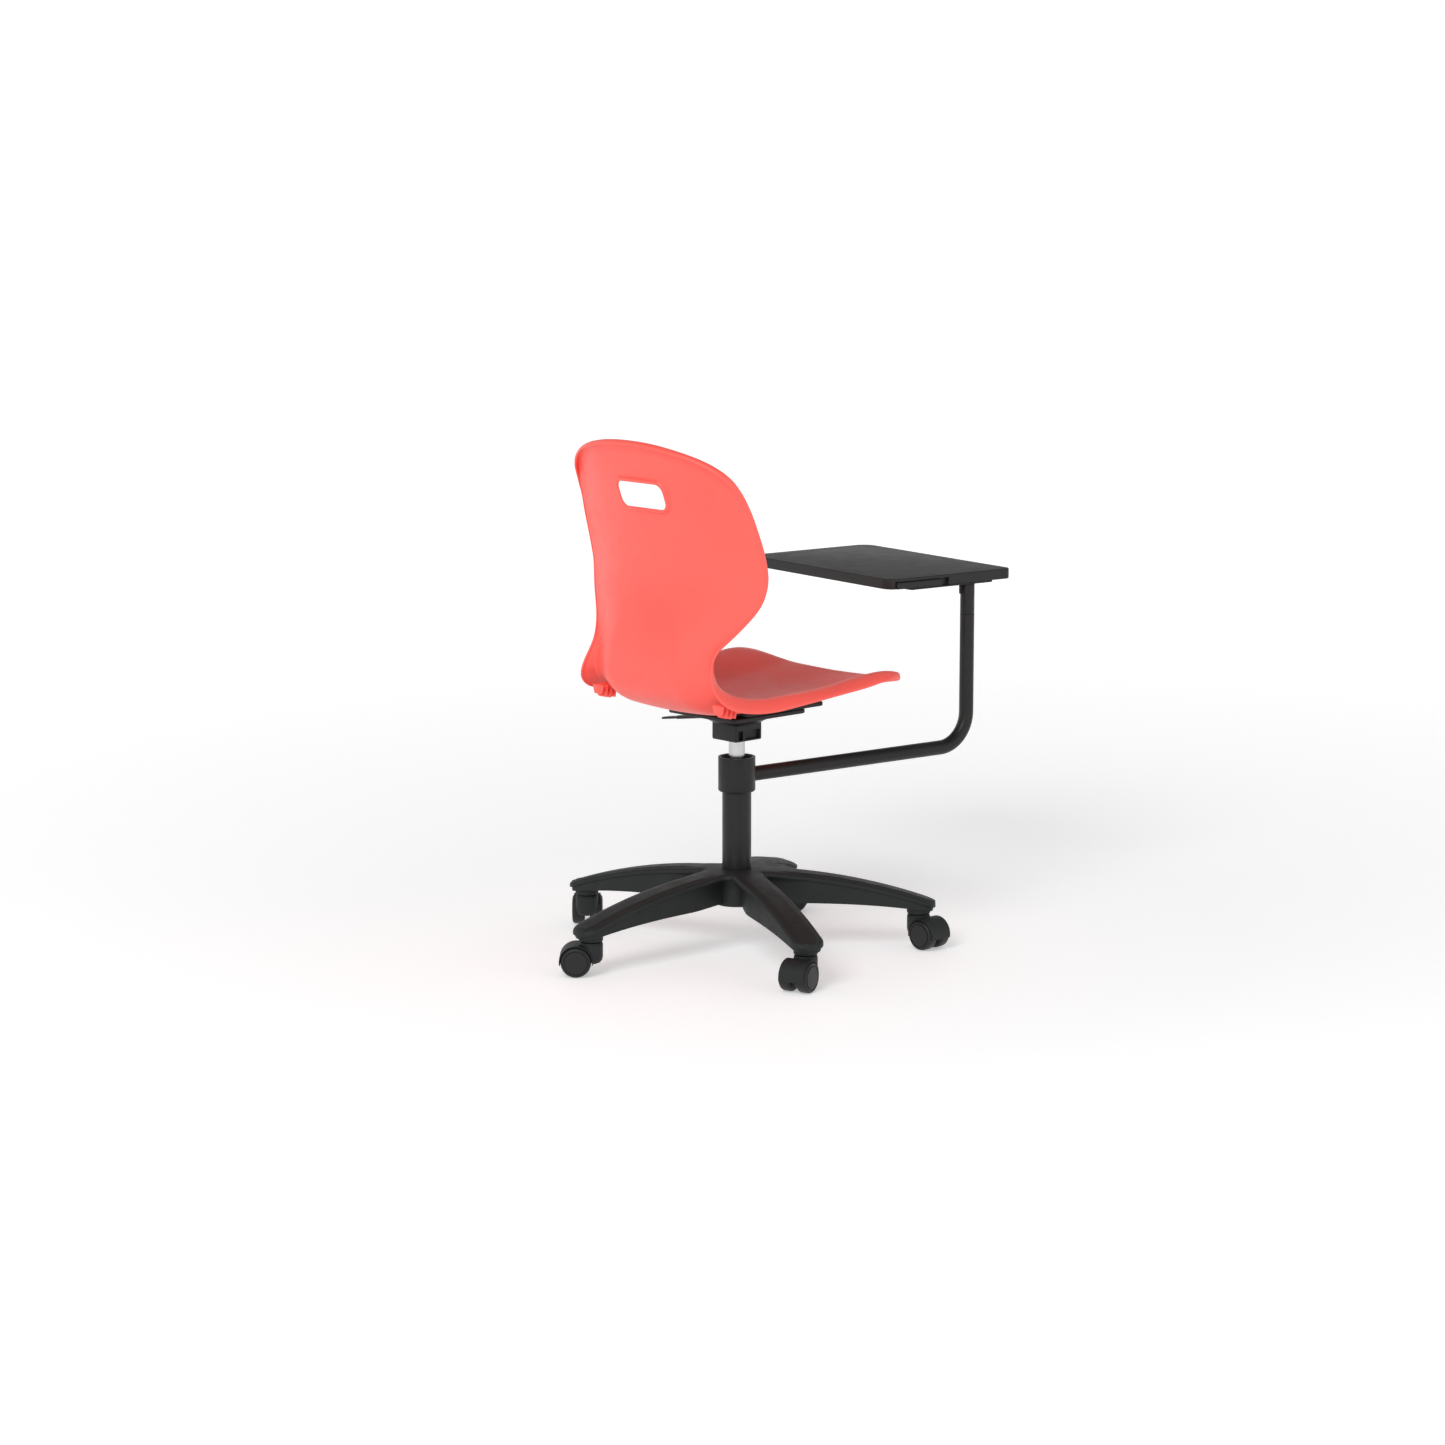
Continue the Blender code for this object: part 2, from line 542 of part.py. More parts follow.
# ---------------------------------------------------------------- arm and tablet
def build_arm(frame):
    """Collar, bush and bent tube; the arm reaches along -Y of its own frame."""
    counterbore = COLLAR_BOTTOM + 7.0
    profile = [(COLLAR_R, COLLAR_TOP), (COLLAR_R, COLLAR_BOTTOM + 2), (COLLAR_R - 2, COLLAR_BOTTOM),
               (29.0, COLLAR_BOTTOM), (29.0, counterbore), (COLLAR_BORE, counterbore),
               (COLLAR_BORE, COLLAR_TOP)]
    turned("arm_collar", profile, BLACK_STEEL, frame, 32)
    ring("collar_bush", COLLAR_BORE - GAP, COLUMN_R + GAP, counterbore - 1.0, COLUMN_TOP - 2, NYLON, frame, 32)

    corner_center = (ARM_REACH - ARM_BEND_R, ARM_HEIGHT + ARM_BEND_R)
    path = [(0, -20.0, ARM_HEIGHT)]
    for step in range(7):
        turn = math.radians(-90 + 15 * step)
        path.append((0, -(corner_center[0] + ARM_BEND_R * math.cos(turn)),
                     corner_center[1] + ARM_BEND_R * math.sin(turn)))
    path.append((0, -ARM_REACH, ARM_SEAM))
    tube = bent_tube("arm_tube", path, ARM_TUBE_R, BLACK_STEEL, frame)
    inside = [(0, -10.0, ARM_HEIGHT)] + path[1:-1] + [(0, -ARM_REACH, ARM_SEAM + 20)]
    cut(tube, bent_tube("arm_tube_bore", inside, ARM_TUBE_R - ARM_WALL, BLACK_STEEL, frame, GUIDES))
    cut(tube, rod("collar_clearance", COLLAR_R + GAP, 250, 360, BLACK_STEEL, frame, 32, group=GUIDES))


def build_tablet(arm_frame):
    frame = new_frame("tablet_axis", arm_frame, (0, -ARM_REACH, 0), -TABLET_YAW)
    spigot_r = ARM_TUBE_R - ARM_WALL - 1.2
    bracket_top = TABLET_TOP - TABLET_THICK - GAP
    bracket_low = bracket_top - BRACKET_THICK
    profile = [(0, bracket_low - GAP), (ARM_TUBE_R, bracket_low - GAP), (ARM_TUBE_R, ARM_SEAM + 1.6),
               (spigot_r, ARM_SEAM + 1.6), (spigot_r, ARM_SEAM - 60), (0, ARM_SEAM - 60)]
    turned("tablet_post", profile, BLACK_STEEL, frame, 20, False)
    bush_profile = [(ARM_TUBE_R, ARM_SEAM + 1.3), (ARM_TUBE_R, ARM_SEAM + 0.1), (spigot_r + 0.8, ARM_SEAM + 0.1),
                    (spigot_r + 0.8, ARM_SEAM - 30), (spigot_r + 0.2, ARM_SEAM - 30),
                    (spigot_r + 0.2, ARM_SEAM + 1.3)]
    turned("post_bush", bush_profile, NYLON, arm_frame, 20).location = Vector((0, -ARM_REACH, 0)) * MM

    width_center = TABLET_WIDTH / 2 - POST_TO_SIDE
    depth_center = TABLET_DEPTH / 2 - POST_TO_FRONT
    board = block_mesh((TABLET_WIDTH, TABLET_DEPTH, TABLET_THICK),
                       (width_center, depth_center, TABLET_TOP - TABLET_THICK / 2))
    uprights = [e for e in board.edges if abs(e.verts[0].co.z - e.verts[1].co.z) > 1]
    near = min(uprights, key=lambda edge: edge.verts[0].co.x + edge.verts[0].co.y)
    round_edges(board, [edge for edge in uprights if edge is not near], TABLET_CORNER, 4)
    uprights = [e for e in board.edges if abs(e.verts[0].co.z - e.verts[1].co.z) > 1]
    near = min(uprights, key=lambda edge: edge.verts[0].co.x + edge.verts[0].co.y)
    round_edges(board, [near], NEAR_CORNER, 3)
    rims = [e for e in board.edges if abs(e.calc_face_angle(0.0)) > 1.2]
    round_edges(board, rims, 1.5, 1)
    top = finish("tablet_top", board, TABLET_PLASTIC, frame)
    slot = block("edge_slot", (16, 118, 10), (-POST_TO_SIDE, 112, TABLET_TOP - 10.0), TABLET_PLASTIC, frame, 0,
                 GUIDES)
    cut(top, slot)
    block("edge_bar", (5, 104, 7), (-POST_TO_SIDE + 4.5, 116, TABLET_TOP - 9.6), TABLET_PLASTIC, frame, 1.0)

    plate_center_y = 42.0
    bracket = block("tablet_bracket", (BRACKET_WIDTH, BRACKET_LENGTH, BRACKET_THICK),
                    (BRACKET_WIDTH / 2 - POST_TO_SIDE + 2, plate_center_y, bracket_low + BRACKET_THICK / 2),
                    BLACK_STEEL, frame, 1.2)
    for number, spot in enumerate([(x, y) for x in (4, 38) for y in (-38, 122)], 1):
        for piece in (bracket, top):
            high = TABLET_TOP - 6.0
            cut(piece, rod(f"{piece.name}_hole_{number}", 2.3, 580, high, STEEL, frame, 12, spot, GUIDES))
        head_top = bracket_low - GAP
        profile = [(0, TABLET_TOP - 7), (2.0, TABLET_TOP - 7), (2.0, head_top), (4.2, head_top),
                   (3.4, head_top - 2.4), (0, head_top - 2.4)]
        screw = turned(f"tablet_screw_{number}", profile, STEEL, frame, 12, False)
        screw.location = Vector((*spot, 0)) * MM


# ---------------------------------------------------------------- build the chair
clear_scene()
PARTS = new_collection("student_desk_chair")
GUIDES = new_collection("guides")

SHELL_PLASTIC = new_material("shell_plastic", (1.0, 0.152, 0.127), 0.45)
NYLON = new_material("black_nylon", (0.042, 0.038, 0.038), 0.55)
BLACK_STEEL = new_material("black_coated_steel", (0.028, 0.028, 0.028), 0.4)
TABLET_PLASTIC = new_material("tablet_plastic", (0.07, 0.07, 0.07), 0.5)
WHEEL = new_material("wheel_nylon", (0.035, 0.035, 0.035), 0.45)
STEEL = new_material("zinc_steel", (0.55, 0.55, 0.56), 0.35, 1.0)
CHROME = new_material("satin_chrome", (0.62, 0.62, 0.63), 0.22, 1.0)
RUBBER = new_material("rubber", (0.03, 0.03, 0.03), 0.8)

COLUMN = new_frame("column_axis", at=(AXIS_X, AXIS_Y, 0))
build_base(COLUMN)
build_column(COLUMN)
build_lift(COLUMN)
build_mechanism(COLUMN)
build_lever(COLUMN)
build_shell(COLUMN)
ARM = new_frame("arm_axis", COLUMN, yaw=-ARM_YAW)
build_arm(ARM)
ring("collar_stop_ring", 28.6, COLUMN_R + 0.1, COLLAR_BOTTOM + 1, COLLAR_BOTTOM + 5.5, STEEL, COLUMN, 32)
build_tablet(ARM)
for leg in range(LEG_COUNT):
    build_castor(leg, COLUMN)
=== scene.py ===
# %% [markdown]
# # A student desk chair
# This chair has a moulded seat shell on a gas lift, a five-leg base on castors, and a writing tablet on an
# arm that turns round the column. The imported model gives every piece's place and every body that moves.
# Each cell below shapes one piece or mixes one finish. Lengths are in millimetres from the column's axis on
# the floor, because that is how a maker's drawing would give them, and turn into metres in one place.

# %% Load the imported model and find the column
import json
from math import atan2, cos, degrees, hypot, pi, radians, sin

import bmesh
import bpy
from mathutils import Matrix, Vector

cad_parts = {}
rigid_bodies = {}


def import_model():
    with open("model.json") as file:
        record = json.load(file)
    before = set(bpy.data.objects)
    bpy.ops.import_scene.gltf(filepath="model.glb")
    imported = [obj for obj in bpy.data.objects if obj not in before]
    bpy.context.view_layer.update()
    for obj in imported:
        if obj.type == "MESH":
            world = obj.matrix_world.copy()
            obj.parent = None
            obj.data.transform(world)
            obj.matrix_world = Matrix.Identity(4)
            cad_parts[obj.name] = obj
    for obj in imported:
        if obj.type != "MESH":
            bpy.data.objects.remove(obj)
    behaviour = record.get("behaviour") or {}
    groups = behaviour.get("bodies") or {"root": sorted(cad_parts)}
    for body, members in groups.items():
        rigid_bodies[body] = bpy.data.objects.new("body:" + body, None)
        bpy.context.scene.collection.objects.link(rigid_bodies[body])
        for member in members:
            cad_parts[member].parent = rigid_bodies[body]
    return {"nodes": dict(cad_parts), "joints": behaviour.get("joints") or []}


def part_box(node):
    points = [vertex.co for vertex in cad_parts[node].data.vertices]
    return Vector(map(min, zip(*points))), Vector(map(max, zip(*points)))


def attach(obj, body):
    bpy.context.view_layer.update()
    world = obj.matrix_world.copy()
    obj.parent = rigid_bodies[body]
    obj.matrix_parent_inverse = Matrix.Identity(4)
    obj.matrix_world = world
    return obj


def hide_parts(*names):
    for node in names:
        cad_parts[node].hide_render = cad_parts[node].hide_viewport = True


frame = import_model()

for leftover in [item for item in bpy.data.objects if item.name in ("Cube", "Light", "Camera")]:
    bpy.data.objects.remove(leftover)
bpy.context.view_layer.update()

MM = 0.001
column_low, column_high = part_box("column_tube")
COLUMN = Vector(((column_low.x + column_high.x) / 2, (column_low.y + column_high.y) / 2, 0))

# %% [markdown]
# ## Helpers for every piece
# A turned part is a profile spun round the vertical axis. A block is a cube, stretched, and a plate is a block
# with round corners. Sharp edges catch no light in a render, so each one gets a small rounding. Last,
# `make_piece` scales a shape to metres, moves it to the column and hands it to the body that it moves with.

# %% Measure shares of a way
def share_of(value, start, end):
    """0 before start, 1 after end and straight between."""
    return min(1.0, max(0.0, (value - start) / (end - start)))


def eased(value, start, end):
    """0 before start, 1 after end and a smooth step between them."""
    share = share_of(value, start, end)
    return share * share * (3 - 2 * share)

# %% Turn, block, round and place
def only(kind, items):
    """The corners, edges or faces out of what an operator gives back."""
    return [item for item in items if isinstance(item, kind)]


def turned(profile, steps=64):
    """A profile of (radius, height) spun round Z."""
    shape = bmesh.new()
    points = [shape.verts.new((radius, 0, height)) for radius, height in profile]
    lines = [shape.edges.new(pair) for pair in zip(points, points[1:])]
    bmesh.ops.spin(shape, geom=points + lines, cent=(0, 0, 0), axis=(0, 0, 1), angle=2 * pi, steps=steps,
                   use_merge=True)
    bmesh.ops.remove_doubles(shape, verts=shape.verts, dist=0.01)
    bmesh.ops.recalc_face_normals(shape, faces=shape.faces)
    return shape


def block(size, middle):
    """A box of a size round a middle."""
    shape = bmesh.new()
    bmesh.ops.create_cube(shape, size=1.0)
    bmesh.ops.scale(shape, vec=size, verts=shape.verts)
    bmesh.ops.translate(shape, vec=middle, verts=shape.verts)
    return shape


def soften(shape, width, segments=2, sharper_than=30.0):
    """Round every edge that turns by more than an angle."""
    edges = [edge for edge in shape.edges if len(edge.link_faces) == 2
             and edge.calc_face_angle(0.0) > radians(sharper_than)]
    bmesh.ops.bevel(shape, geom=edges, offset=width, segments=segments, profile=0.5, affect="EDGES",
                    material=-1, clamp_overlap=True)
    return shape


def uprights(shape):
    return [edge for edge in shape.edges if abs(edge.verts[0].co.z - edge.verts[1].co.z) > 1]


def round_edges(shape, edges, radius, segments):
    bmesh.ops.bevel(shape, geom=edges, offset=radius, segments=segments, profile=0.5, affect="EDGES", material=-1)


def rounded_plate(size, middle, corner, edge, segments=6):
    """A block with round upright corners and softened faces."""
    plate = block(size, middle)
    round_edges(plate, uprights(plate), corner, segments)
    return soften(plate, edge, 2, 60)


def move(shape, by=(0, 0, 0), turn=0.0, axis="Z"):
    """Turn a shape about an axis through the origin, then move it."""
    bmesh.ops.rotate(shape, cent=(0, 0, 0), matrix=Matrix.Rotation(radians(turn), 3, axis), verts=shape.verts)
    bmesh.ops.translate(shape, vec=by, verts=shape.verts)
    return shape


def add_shape(shape, other):
    """Put another shape's mesh into a shape."""
    mesh = bpy.data.meshes.new("part")
    other.to_mesh(mesh)
    other.free()
    shape.from_mesh(mesh)
    bpy.data.meshes.remove(mesh)


def to_object(name, shape):
    """A mesh object at the origin with its place in its mesh."""
    bmesh.ops.scale(shape, vec=(MM, MM, MM), verts=shape.verts)
    bmesh.ops.translate(shape, vec=COLUMN, verts=shape.verts)
    mesh = bpy.data.meshes.new(name)
    shape.to_mesh(mesh)
    shape.free()
    made = bpy.data.objects.new(name, mesh)
    bpy.context.scene.collection.objects.link(made)
    return made


def make_piece(name, shape, finish, body, nodes=(), crease=32.0):
    """Finish a shape and let it ride on a body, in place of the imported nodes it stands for."""
    made = shape if isinstance(shape, bpy.types.Object) else to_object(name, shape)
    made.data.materials.clear()
    made.data.materials.append(finish)
    made.data.shade_smooth()
    made.data.set_sharp_from_angle(angle=radians(crease))
    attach(made, body)
    if nodes:
        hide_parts(*nodes)
    print(f"{name}: {len(made.data.polygons)} faces, on {body}")
    return made

# %% [markdown]
# ## Cutting and joining
# Pockets, windows and slots are easiest as a Boolean: one shape is taken away from another. The modifier is
# applied at once and the cutter is thrown away, so that only the finished mesh stays.

# %% Cut and join
def combine(made, tool_shape, operation="DIFFERENCE"):
    """Cut a shape from an object, or join it on."""
    tool = to_object("tool", tool_shape)
    change = made.modifiers.new("combine", "BOOLEAN")
    change.operation, change.object, change.solver = operation, tool, "EXACT"
    bake_modifiers(made)
    bpy.data.objects.remove(tool)


def bake_modifiers(made):
    """Replace an object's mesh by what its modifiers make of it."""
    bpy.context.view_layer.update()
    seen = made.evaluated_get(bpy.context.evaluated_depsgraph_get())
    finished = bpy.data.meshes.new_from_object(seen)
    made.modifiers.clear()
    made.data = finished

# %% [markdown]
# ## Finishes
# Moulded plastic is never one flat colour. Its surface has a fine spark-eroded grain, its colour drifts a
# little where the melt flowed, and its gloss varies where hands have polished it. One recipe with different
# numbers gives the shell, the nylon, the tablet and the wheels. All patterns read Object coordinates, in metres.

# %% A recipe for grained plastic and powder coat
CLOUD_SCALE, PATCH_SCALE = 9.0, 38.0
NOISE_LOW, NOISE_HIGH = 0.3, 0.7


def link(tree, source, output, target, socket):
    tree.links.new(source.outputs[output], target.inputs[socket])


def noise(tree, where, scale, detail):
    made = tree.nodes.new("ShaderNodeTexNoise")
    made.inputs["Scale"].default_value = scale
    made.inputs["Detail"].default_value = detail
    link(tree, where, "Object", made, "Vector")
    return made


def ranged(tree, source, output, *limits):
    """An output, stretched from the first two limits to the last two."""
    made = tree.nodes.new("ShaderNodeMapRange")
    for socket, limit in zip(("From Min", "From Max", "To Min", "To Max"), limits):
        made.inputs[socket].default_value = limit
    link(tree, source, output, made, "Value")
    return made


def grained(name, colour, drift, rough, grain_size, grain_depth, coat=0.0, metallic=0.0, specular=0.5):
    """Colour that drifts, roughness between two values, and a grain of a size and depth in millimetres."""
    made = bpy.data.materials.new(name)
    made.use_nodes = True
    tree = made.node_tree
    shader = tree.nodes["Principled BSDF"]
    where = tree.nodes.new("ShaderNodeTexCoord")
    cloud = noise(tree, where, CLOUD_SCALE, 3.0)
    ramp = tree.nodes.new("ShaderNodeValToRGB")
    for point, position, share in ((0, NOISE_LOW, 1.0 - drift), (1, NOISE_HIGH, 1.0 + drift)):
        ramp.color_ramp.elements[point].position = position
        ramp.color_ramp.elements[point].color = (*(min(1.0, part * share) for part in colour), 1.0)
    link(tree, cloud, "Fac", ramp, "Fac")
    link(tree, ramp, "Color", shader, "Base Color")
    patches = ranged(tree, noise(tree, where, PATCH_SCALE, 4.0), "Fac", NOISE_LOW, NOISE_HIGH, *rough)
    link(tree, patches, "Result", shader, "Roughness")
    grain = noise(tree, where, 1.0 / (grain_size * MM), 2.0)
    bump = tree.nodes.new("ShaderNodeBump")
    bump.inputs["Distance"].default_value = grain_depth * MM
    bump.inputs["Strength"].default_value = 0.6
    link(tree, grain, "Fac", bump, "Height")
    link(tree, bump, "Normal", shader, "Normal")
    shader.inputs["Metallic"].default_value = metallic
    shader.inputs["Specular IOR Level"].default_value = specular
    shader.inputs["Coat Weight"].default_value = coat
    shader.inputs["Coat Roughness"].default_value = 0.3
    return made

# %% Mix the plastics, the powder coat and the rubber
coral = grained("coral shell plastic", (0.93, 0.104, 0.080), 0.025, (0.40, 0.50), 0.7, 0.10, coat=0.08,
                specular=0.45)
nylon = grained("black base nylon", (0.0150, 0.0175, 0.0175), 0.10, (0.50, 0.62), 0.9, 0.16, specular=0.26)
tread = grained("castor wheel nylon", (0.0160, 0.0160, 0.0160), 0.10, (0.36, 0.48), 0.5, 0.05, specular=0.28)
powder_coat = grained("black powder coat", (0.0125, 0.0125, 0.0125), 0.10, (0.34, 0.46), 0.45, 0.08, specular=0.28)
tablet_skin = grained("tablet skin", (0.0200, 0.0195, 0.0195), 0.03, (0.49, 0.55), 0.6, 0.04, specular=0.26)
rubber = grained("soft black rubber", (0.014, 0.014, 0.014), 0.10, (0.75, 0.9), 0.8, 0.10)
print("plastics:", [m.name for m in (coral, nylon, tread, powder_coat, tablet_skin, rubber)])

# %% [markdown]
# The lift's cylinder is ground and satin chromed, so its highlights are drawn out round it by very fine
# scratches that run round the tube. Zinc plating is duller and faintly yellowish, with soft clouds in its
# brightness.

# %% Mix the metals
def metal(name, colour, rough, scratch_stretch, depth):
    made = grained(name, colour, 0.05, rough, 0.5, depth, metallic=1.0)
    tree = made.node_tree
    stretch = tree.nodes.new("ShaderNodeMapping")
    stretch.inputs["Scale"].default_value = scratch_stretch
    where = next(node for node in tree.nodes if node.type == "TEX_COORD")
    grain = [node for node in tree.nodes if node.type == "TEX_NOISE"][-1]
    link(tree, where, "Object", stretch, "Vector")
    link(tree, stretch, "Vector", grain, "Vector")
    return made


satin_chrome = metal("satin chrome", (0.52, 0.52, 0.53), (0.20, 0.30), (0.2, 0.2, 2.0), 0.02)
zinc = metal("zinc plate", (0.56, 0.56, 0.54), (0.32, 0.45), (1.0, 1.0, 1.0), 0.03)
print("metals:", satin_chrome.name, "and", zinc.name)

# %% [markdown]
# ## The seat shell
# The real shell is one injection moulding about 5 mm thick. A mould maker draws it as sections from the front
# edge, under the sitter and up the back. Here each section is a row: where the middle and the edge lie, how wide
# the shell is, and how high its side rolls up. A flat grid is laid over the rows, so the sheet stays in clean
# quads that Subdivision Surface can smooth.

# %% Sections of the shell, front to top
# spine y, spine z, edge y, edge z, half width, height of the rolled side
SECTIONS = (
    (-238, 462, -236, 470, 195, 5), (-190, 458, -186, 478, 204, 12), (-120, 448, -116, 469, 204, 19),
    (-40, 440, -38, 462, 203, 17), (40, 435, 40, 454, 200, 21), (100, 432, 102, 449, 196, 24),
    (150, 439, 148, 452, 190, 26), (190, 460, 182, 461, 184, 28), (213, 492, 203, 480, 175, 27),
    (220, 531, 206, 507, 163, 21), (214, 568, 190, 546, 152, 10), (203, 601, 164, 578, 172, 5),
    (190, 636, 139, 624, 204, 3), (183, 676, 130, 668, 216, 3), (186, 716, 137, 709, 218, 3),
    (196, 761, 151, 754, 215, 3), (212, 805, 166, 799, 209, 4), (230, 856, 186, 849, 205, 5),
    (242, 901.5, 199, 894.5, 202, 6))
SHELL_WALL, RIDGE = 5.0, 0.88
CURL, CURL_REACH = 6.5, 28.0
TOP_CORNER, FRONT_CORNER = 86.0, 66.0
lengths = [0.0]
for before, after in zip(SECTIONS, SECTIONS[1:]):
    lengths.append(lengths[-1] + hypot(after[0] - before[0], after[1] - before[1]))
print(f"{len(SECTIONS)} sections along {lengths[-1]:.0f} mm of spine")


def between(at, column):
    """A value of the sections at a length along the spine, on a smooth curve."""
    index = max(k for k in range(len(lengths) - 1) if k == 0 or lengths[k] <= at)

    def slope(k):
        left, right = max(k - 1, 0), min(k + 1, len(lengths) - 1)
        if 0 < k < len(lengths) - 1:
            h1, h2 = lengths[k] - lengths[left], lengths[right] - lengths[k]
            rise1 = (SECTIONS[k][column] - SECTIONS[left][column]) / h1
            rise2 = (SECTIONS[right][column] - SECTIONS[k][column]) / h2
            return (rise1 * h2 + rise2 * h1) / (h1 + h2)
        return (SECTIONS[right][column] - SECTIONS[left][column]) / (lengths[right] - lengths[left])

    low, high = SECTIONS[index][column], SECTIONS[index + 1][column]
    span = lengths[index + 1] - lengths[index]
    t = (at - lengths[index]) / span
    lean = slope(index) * t * (1 - t) ** 2 - slope(index + 1) * t * t * (1 - t)
    return low + (high - low) * t * t * (3 - 2 * t) + span * lean

# %% [markdown]
# Across a section the sheet is dished, rises to a ridge near the side and folds over outwards: that rolled
# flange is what stiffens the seat. The corners are rounded by starting each line of the grid a little later. Close
# to its top the back curls over to the rear.

# %% Lay a grid over the sections
RISE_START = 0.45


def corner_start(depth, side, power):
    """How much later a line of the grid starts where the sheet's corner is rounded."""
    return depth * (1.0 - (1.0 - side ** power) ** (1.0 / power))


def sitting_point(along, across):
    """A point of the sitting side: along 0 to 1 from front to top, across -1 to 1."""
    side = min(abs(across), 1.0)
    first = corner_start(FRONT_CORNER, side, 3.2)
    last = lengths[-1] - corner_start(TOP_CORNER, side, 2.2)
    at = first + (last - first) * along
    spine_y, spine_z, edge_y, edge_z, half, roll = (between(at, column) for column in range(6))
    ahead, behind = min(at + 4, lengths[-1]), max(at - 4, 0.0)
    run = Vector((between(ahead, 0) - between(behind, 0), between(ahead, 1) - between(behind, 1))).normalized()
    dish = side ** (1.6 + 0.6 * along)
    crest = eased(side, RISE_START, RIDGE)
    if side > RIDGE:
        crest = 1.0 - ((side - RIDGE) / (1.0 - RIDGE)) ** 2
    to_border = min(last - at, (1.0 - side) * half)
    curl = CURL * max(0.0, 1.0 - to_border / CURL_REACH) ** 2 * eased(spine_z, 780.0, 850.0)
    y = spine_y + (edge_y - spine_y) * dish - run.y * (roll * crest - curl)
    z = spine_z + (edge_z - spine_z) * dish + run.x * (roll * crest - curl)
    return Vector((half * across, y, z))


def shell_sheet(columns=18, rows=64, crowding=0.2):
    sheet = bmesh.new()
    bmesh.ops.create_grid(sheet, x_segments=2 * columns, y_segments=rows, size=1.0)
    for corner in sheet.verts:
        across = 0.65 * corner.co.x + 0.35 * sin(0.5 * pi * corner.co.x)
        along = 0.5 * (corner.co.y + 1.0)
        corner.co = sitting_point(along - crowding * sin(2 * pi * along) / (2 * pi), across)
    bmesh.ops.recalc_face_normals(sheet, faces=sheet.faces)
    seat = min(sheet.faces, key=lambda face: (face.calc_center_median() - Vector((0, 0, 440))).length)
    if seat.normal.z < 0:
        bmesh.ops.reverse_faces(sheet, faces=sheet.faces)
    return sheet


sheet = shell_sheet()
print("sheet of", len(sheet.faces), "quads")

# %% [markdown]
# The rim is turned back, deepest and thickest along the top of the back, where it makes a bright rounded edge over
# a shadow, and deeper again at the front. Extruding the sheet's border and moving the new row to the rear makes
# it, before the wall gets its thickness. A weight on the rim's corners later tells Solidify how thick it is.

# %% Turn the rim back
RIM_WALL, RIM_DEPTH, RIM_MORE_AT_TOP, RIM_MORE_AT_FRONT = 7.0, 5.2, 7.4, 7.5


def top_share(point):
    return eased(point.z, 790.0, 860.0)


def front_share(point):
    return eased(-point.y, 140.0, 205.0)


def turn_rim_back(sheet):
    sheet.normal_update()
    weight = sheet.verts.layers.deform.verify()
    border = [edge for edge in sheet.edges if edge.is_boundary]
    for corner in sheet.verts:
        corner[weight][0] = SHELL_WALL / RIM_WALL
    inward = {corner: corner.normal.copy() for edge in border for corner in edge.verts}
    grown = bmesh.ops.extrude_edge_only(sheet, edges=border)["geom"]
    for corner in only(bmesh.types.BMVert, grown):
        source = min(inward, key=lambda other: (other.co - corner.co).length_squared)
        top, front = top_share(corner.co), front_share(corner.co)
        corner[weight][0] = source[weight][0] = (SHELL_WALL + (RIM_WALL - SHELL_WALL) * top) / RIM_WALL
        back = (-inward[source]).lerp(Vector((0, 0, -1)), front)
        corner.co += back * (RIM_DEPTH + RIM_MORE_AT_TOP * top + RIM_MORE_AT_FRONT * front)


turn_rim_back(sheet)
print("sheet with its rim:", len(sheet.faces), "quads")

# %% [markdown]
# Solidify gives the sheet its wall, on the far side from the sitter, and two levels of subdivision round every
# turn. Round the hand hole the wall is pressed back into a raised lip. The hole is then cut by a shape that follows
# the wall and flares at both faces, which leaves the soft rounded edge that a mould gives.

# %% Give the sheet its wall and cut the hand hole
HOLE_WIDTH, HOLE_HEIGHT, HOLE_Z, HOLE_CORNER, LIP_HEIGHT = 111.0, 43.0, 803.0, 14.0, 4.4


def hole_distance(x, z):
    """How far a point lies outside the hand hole's outline; negative inside it."""
    dx = abs(x) - HOLE_WIDTH / 2 + HOLE_CORNER
    dz = abs(z - HOLE_Z) - HOLE_HEIGHT / 2 + HOLE_CORNER
    return hypot(max(dx, 0), max(dz, 0)) + min(max(dx, dz), 0) - HOLE_CORNER


def raise_lip(made, flat=4.5, foot=8.5):
    """Press the wall back round the hole: all the way at the flat of the lip, not at all beyond its foot."""
    shape = bmesh.new()
    shape.from_mesh(made.data)
    away = {corner: hole_distance((corner.co.x - COLUMN.x) / MM, corner.co.z / MM) for corner in shape.verts}
    near = [edge for edge in shape.edges if all(-9.0 < away[corner] < 15.0 for corner in edge.verts)]
    bmesh.ops.subdivide_edges(shape, edges=near, cuts=1, use_grid_fill=True)
    for corner in shape.verts:
        gap = hole_distance((corner.co.x - COLUMN.x) / MM, corner.co.z / MM)
        corner.co.y += LIP_HEIGHT * MM * (1.0 - eased(gap, flat, foot))
    shape.to_mesh(made.data)
    shape.free()


def sitting_depth(x, z):
    """The y of the sitting side at a height on the back, found by halving."""
    def spot(along):
        return sitting_point(along, x / between(lengths[-1] * along, 4))

    low, high = 0.6, 1.0
    for _ in range(30):
        middle = (low + high) / 2
        low, high = (middle, high) if spot(middle).z < z else (low, middle)
    return spot(low).y


HOLE_RINGS = ((-14.0, 5.0), (-0.2, 1.6), (1.6, 0.0), (4.4, 0.0), (6.4, 1.8), (16.0, 6.0))


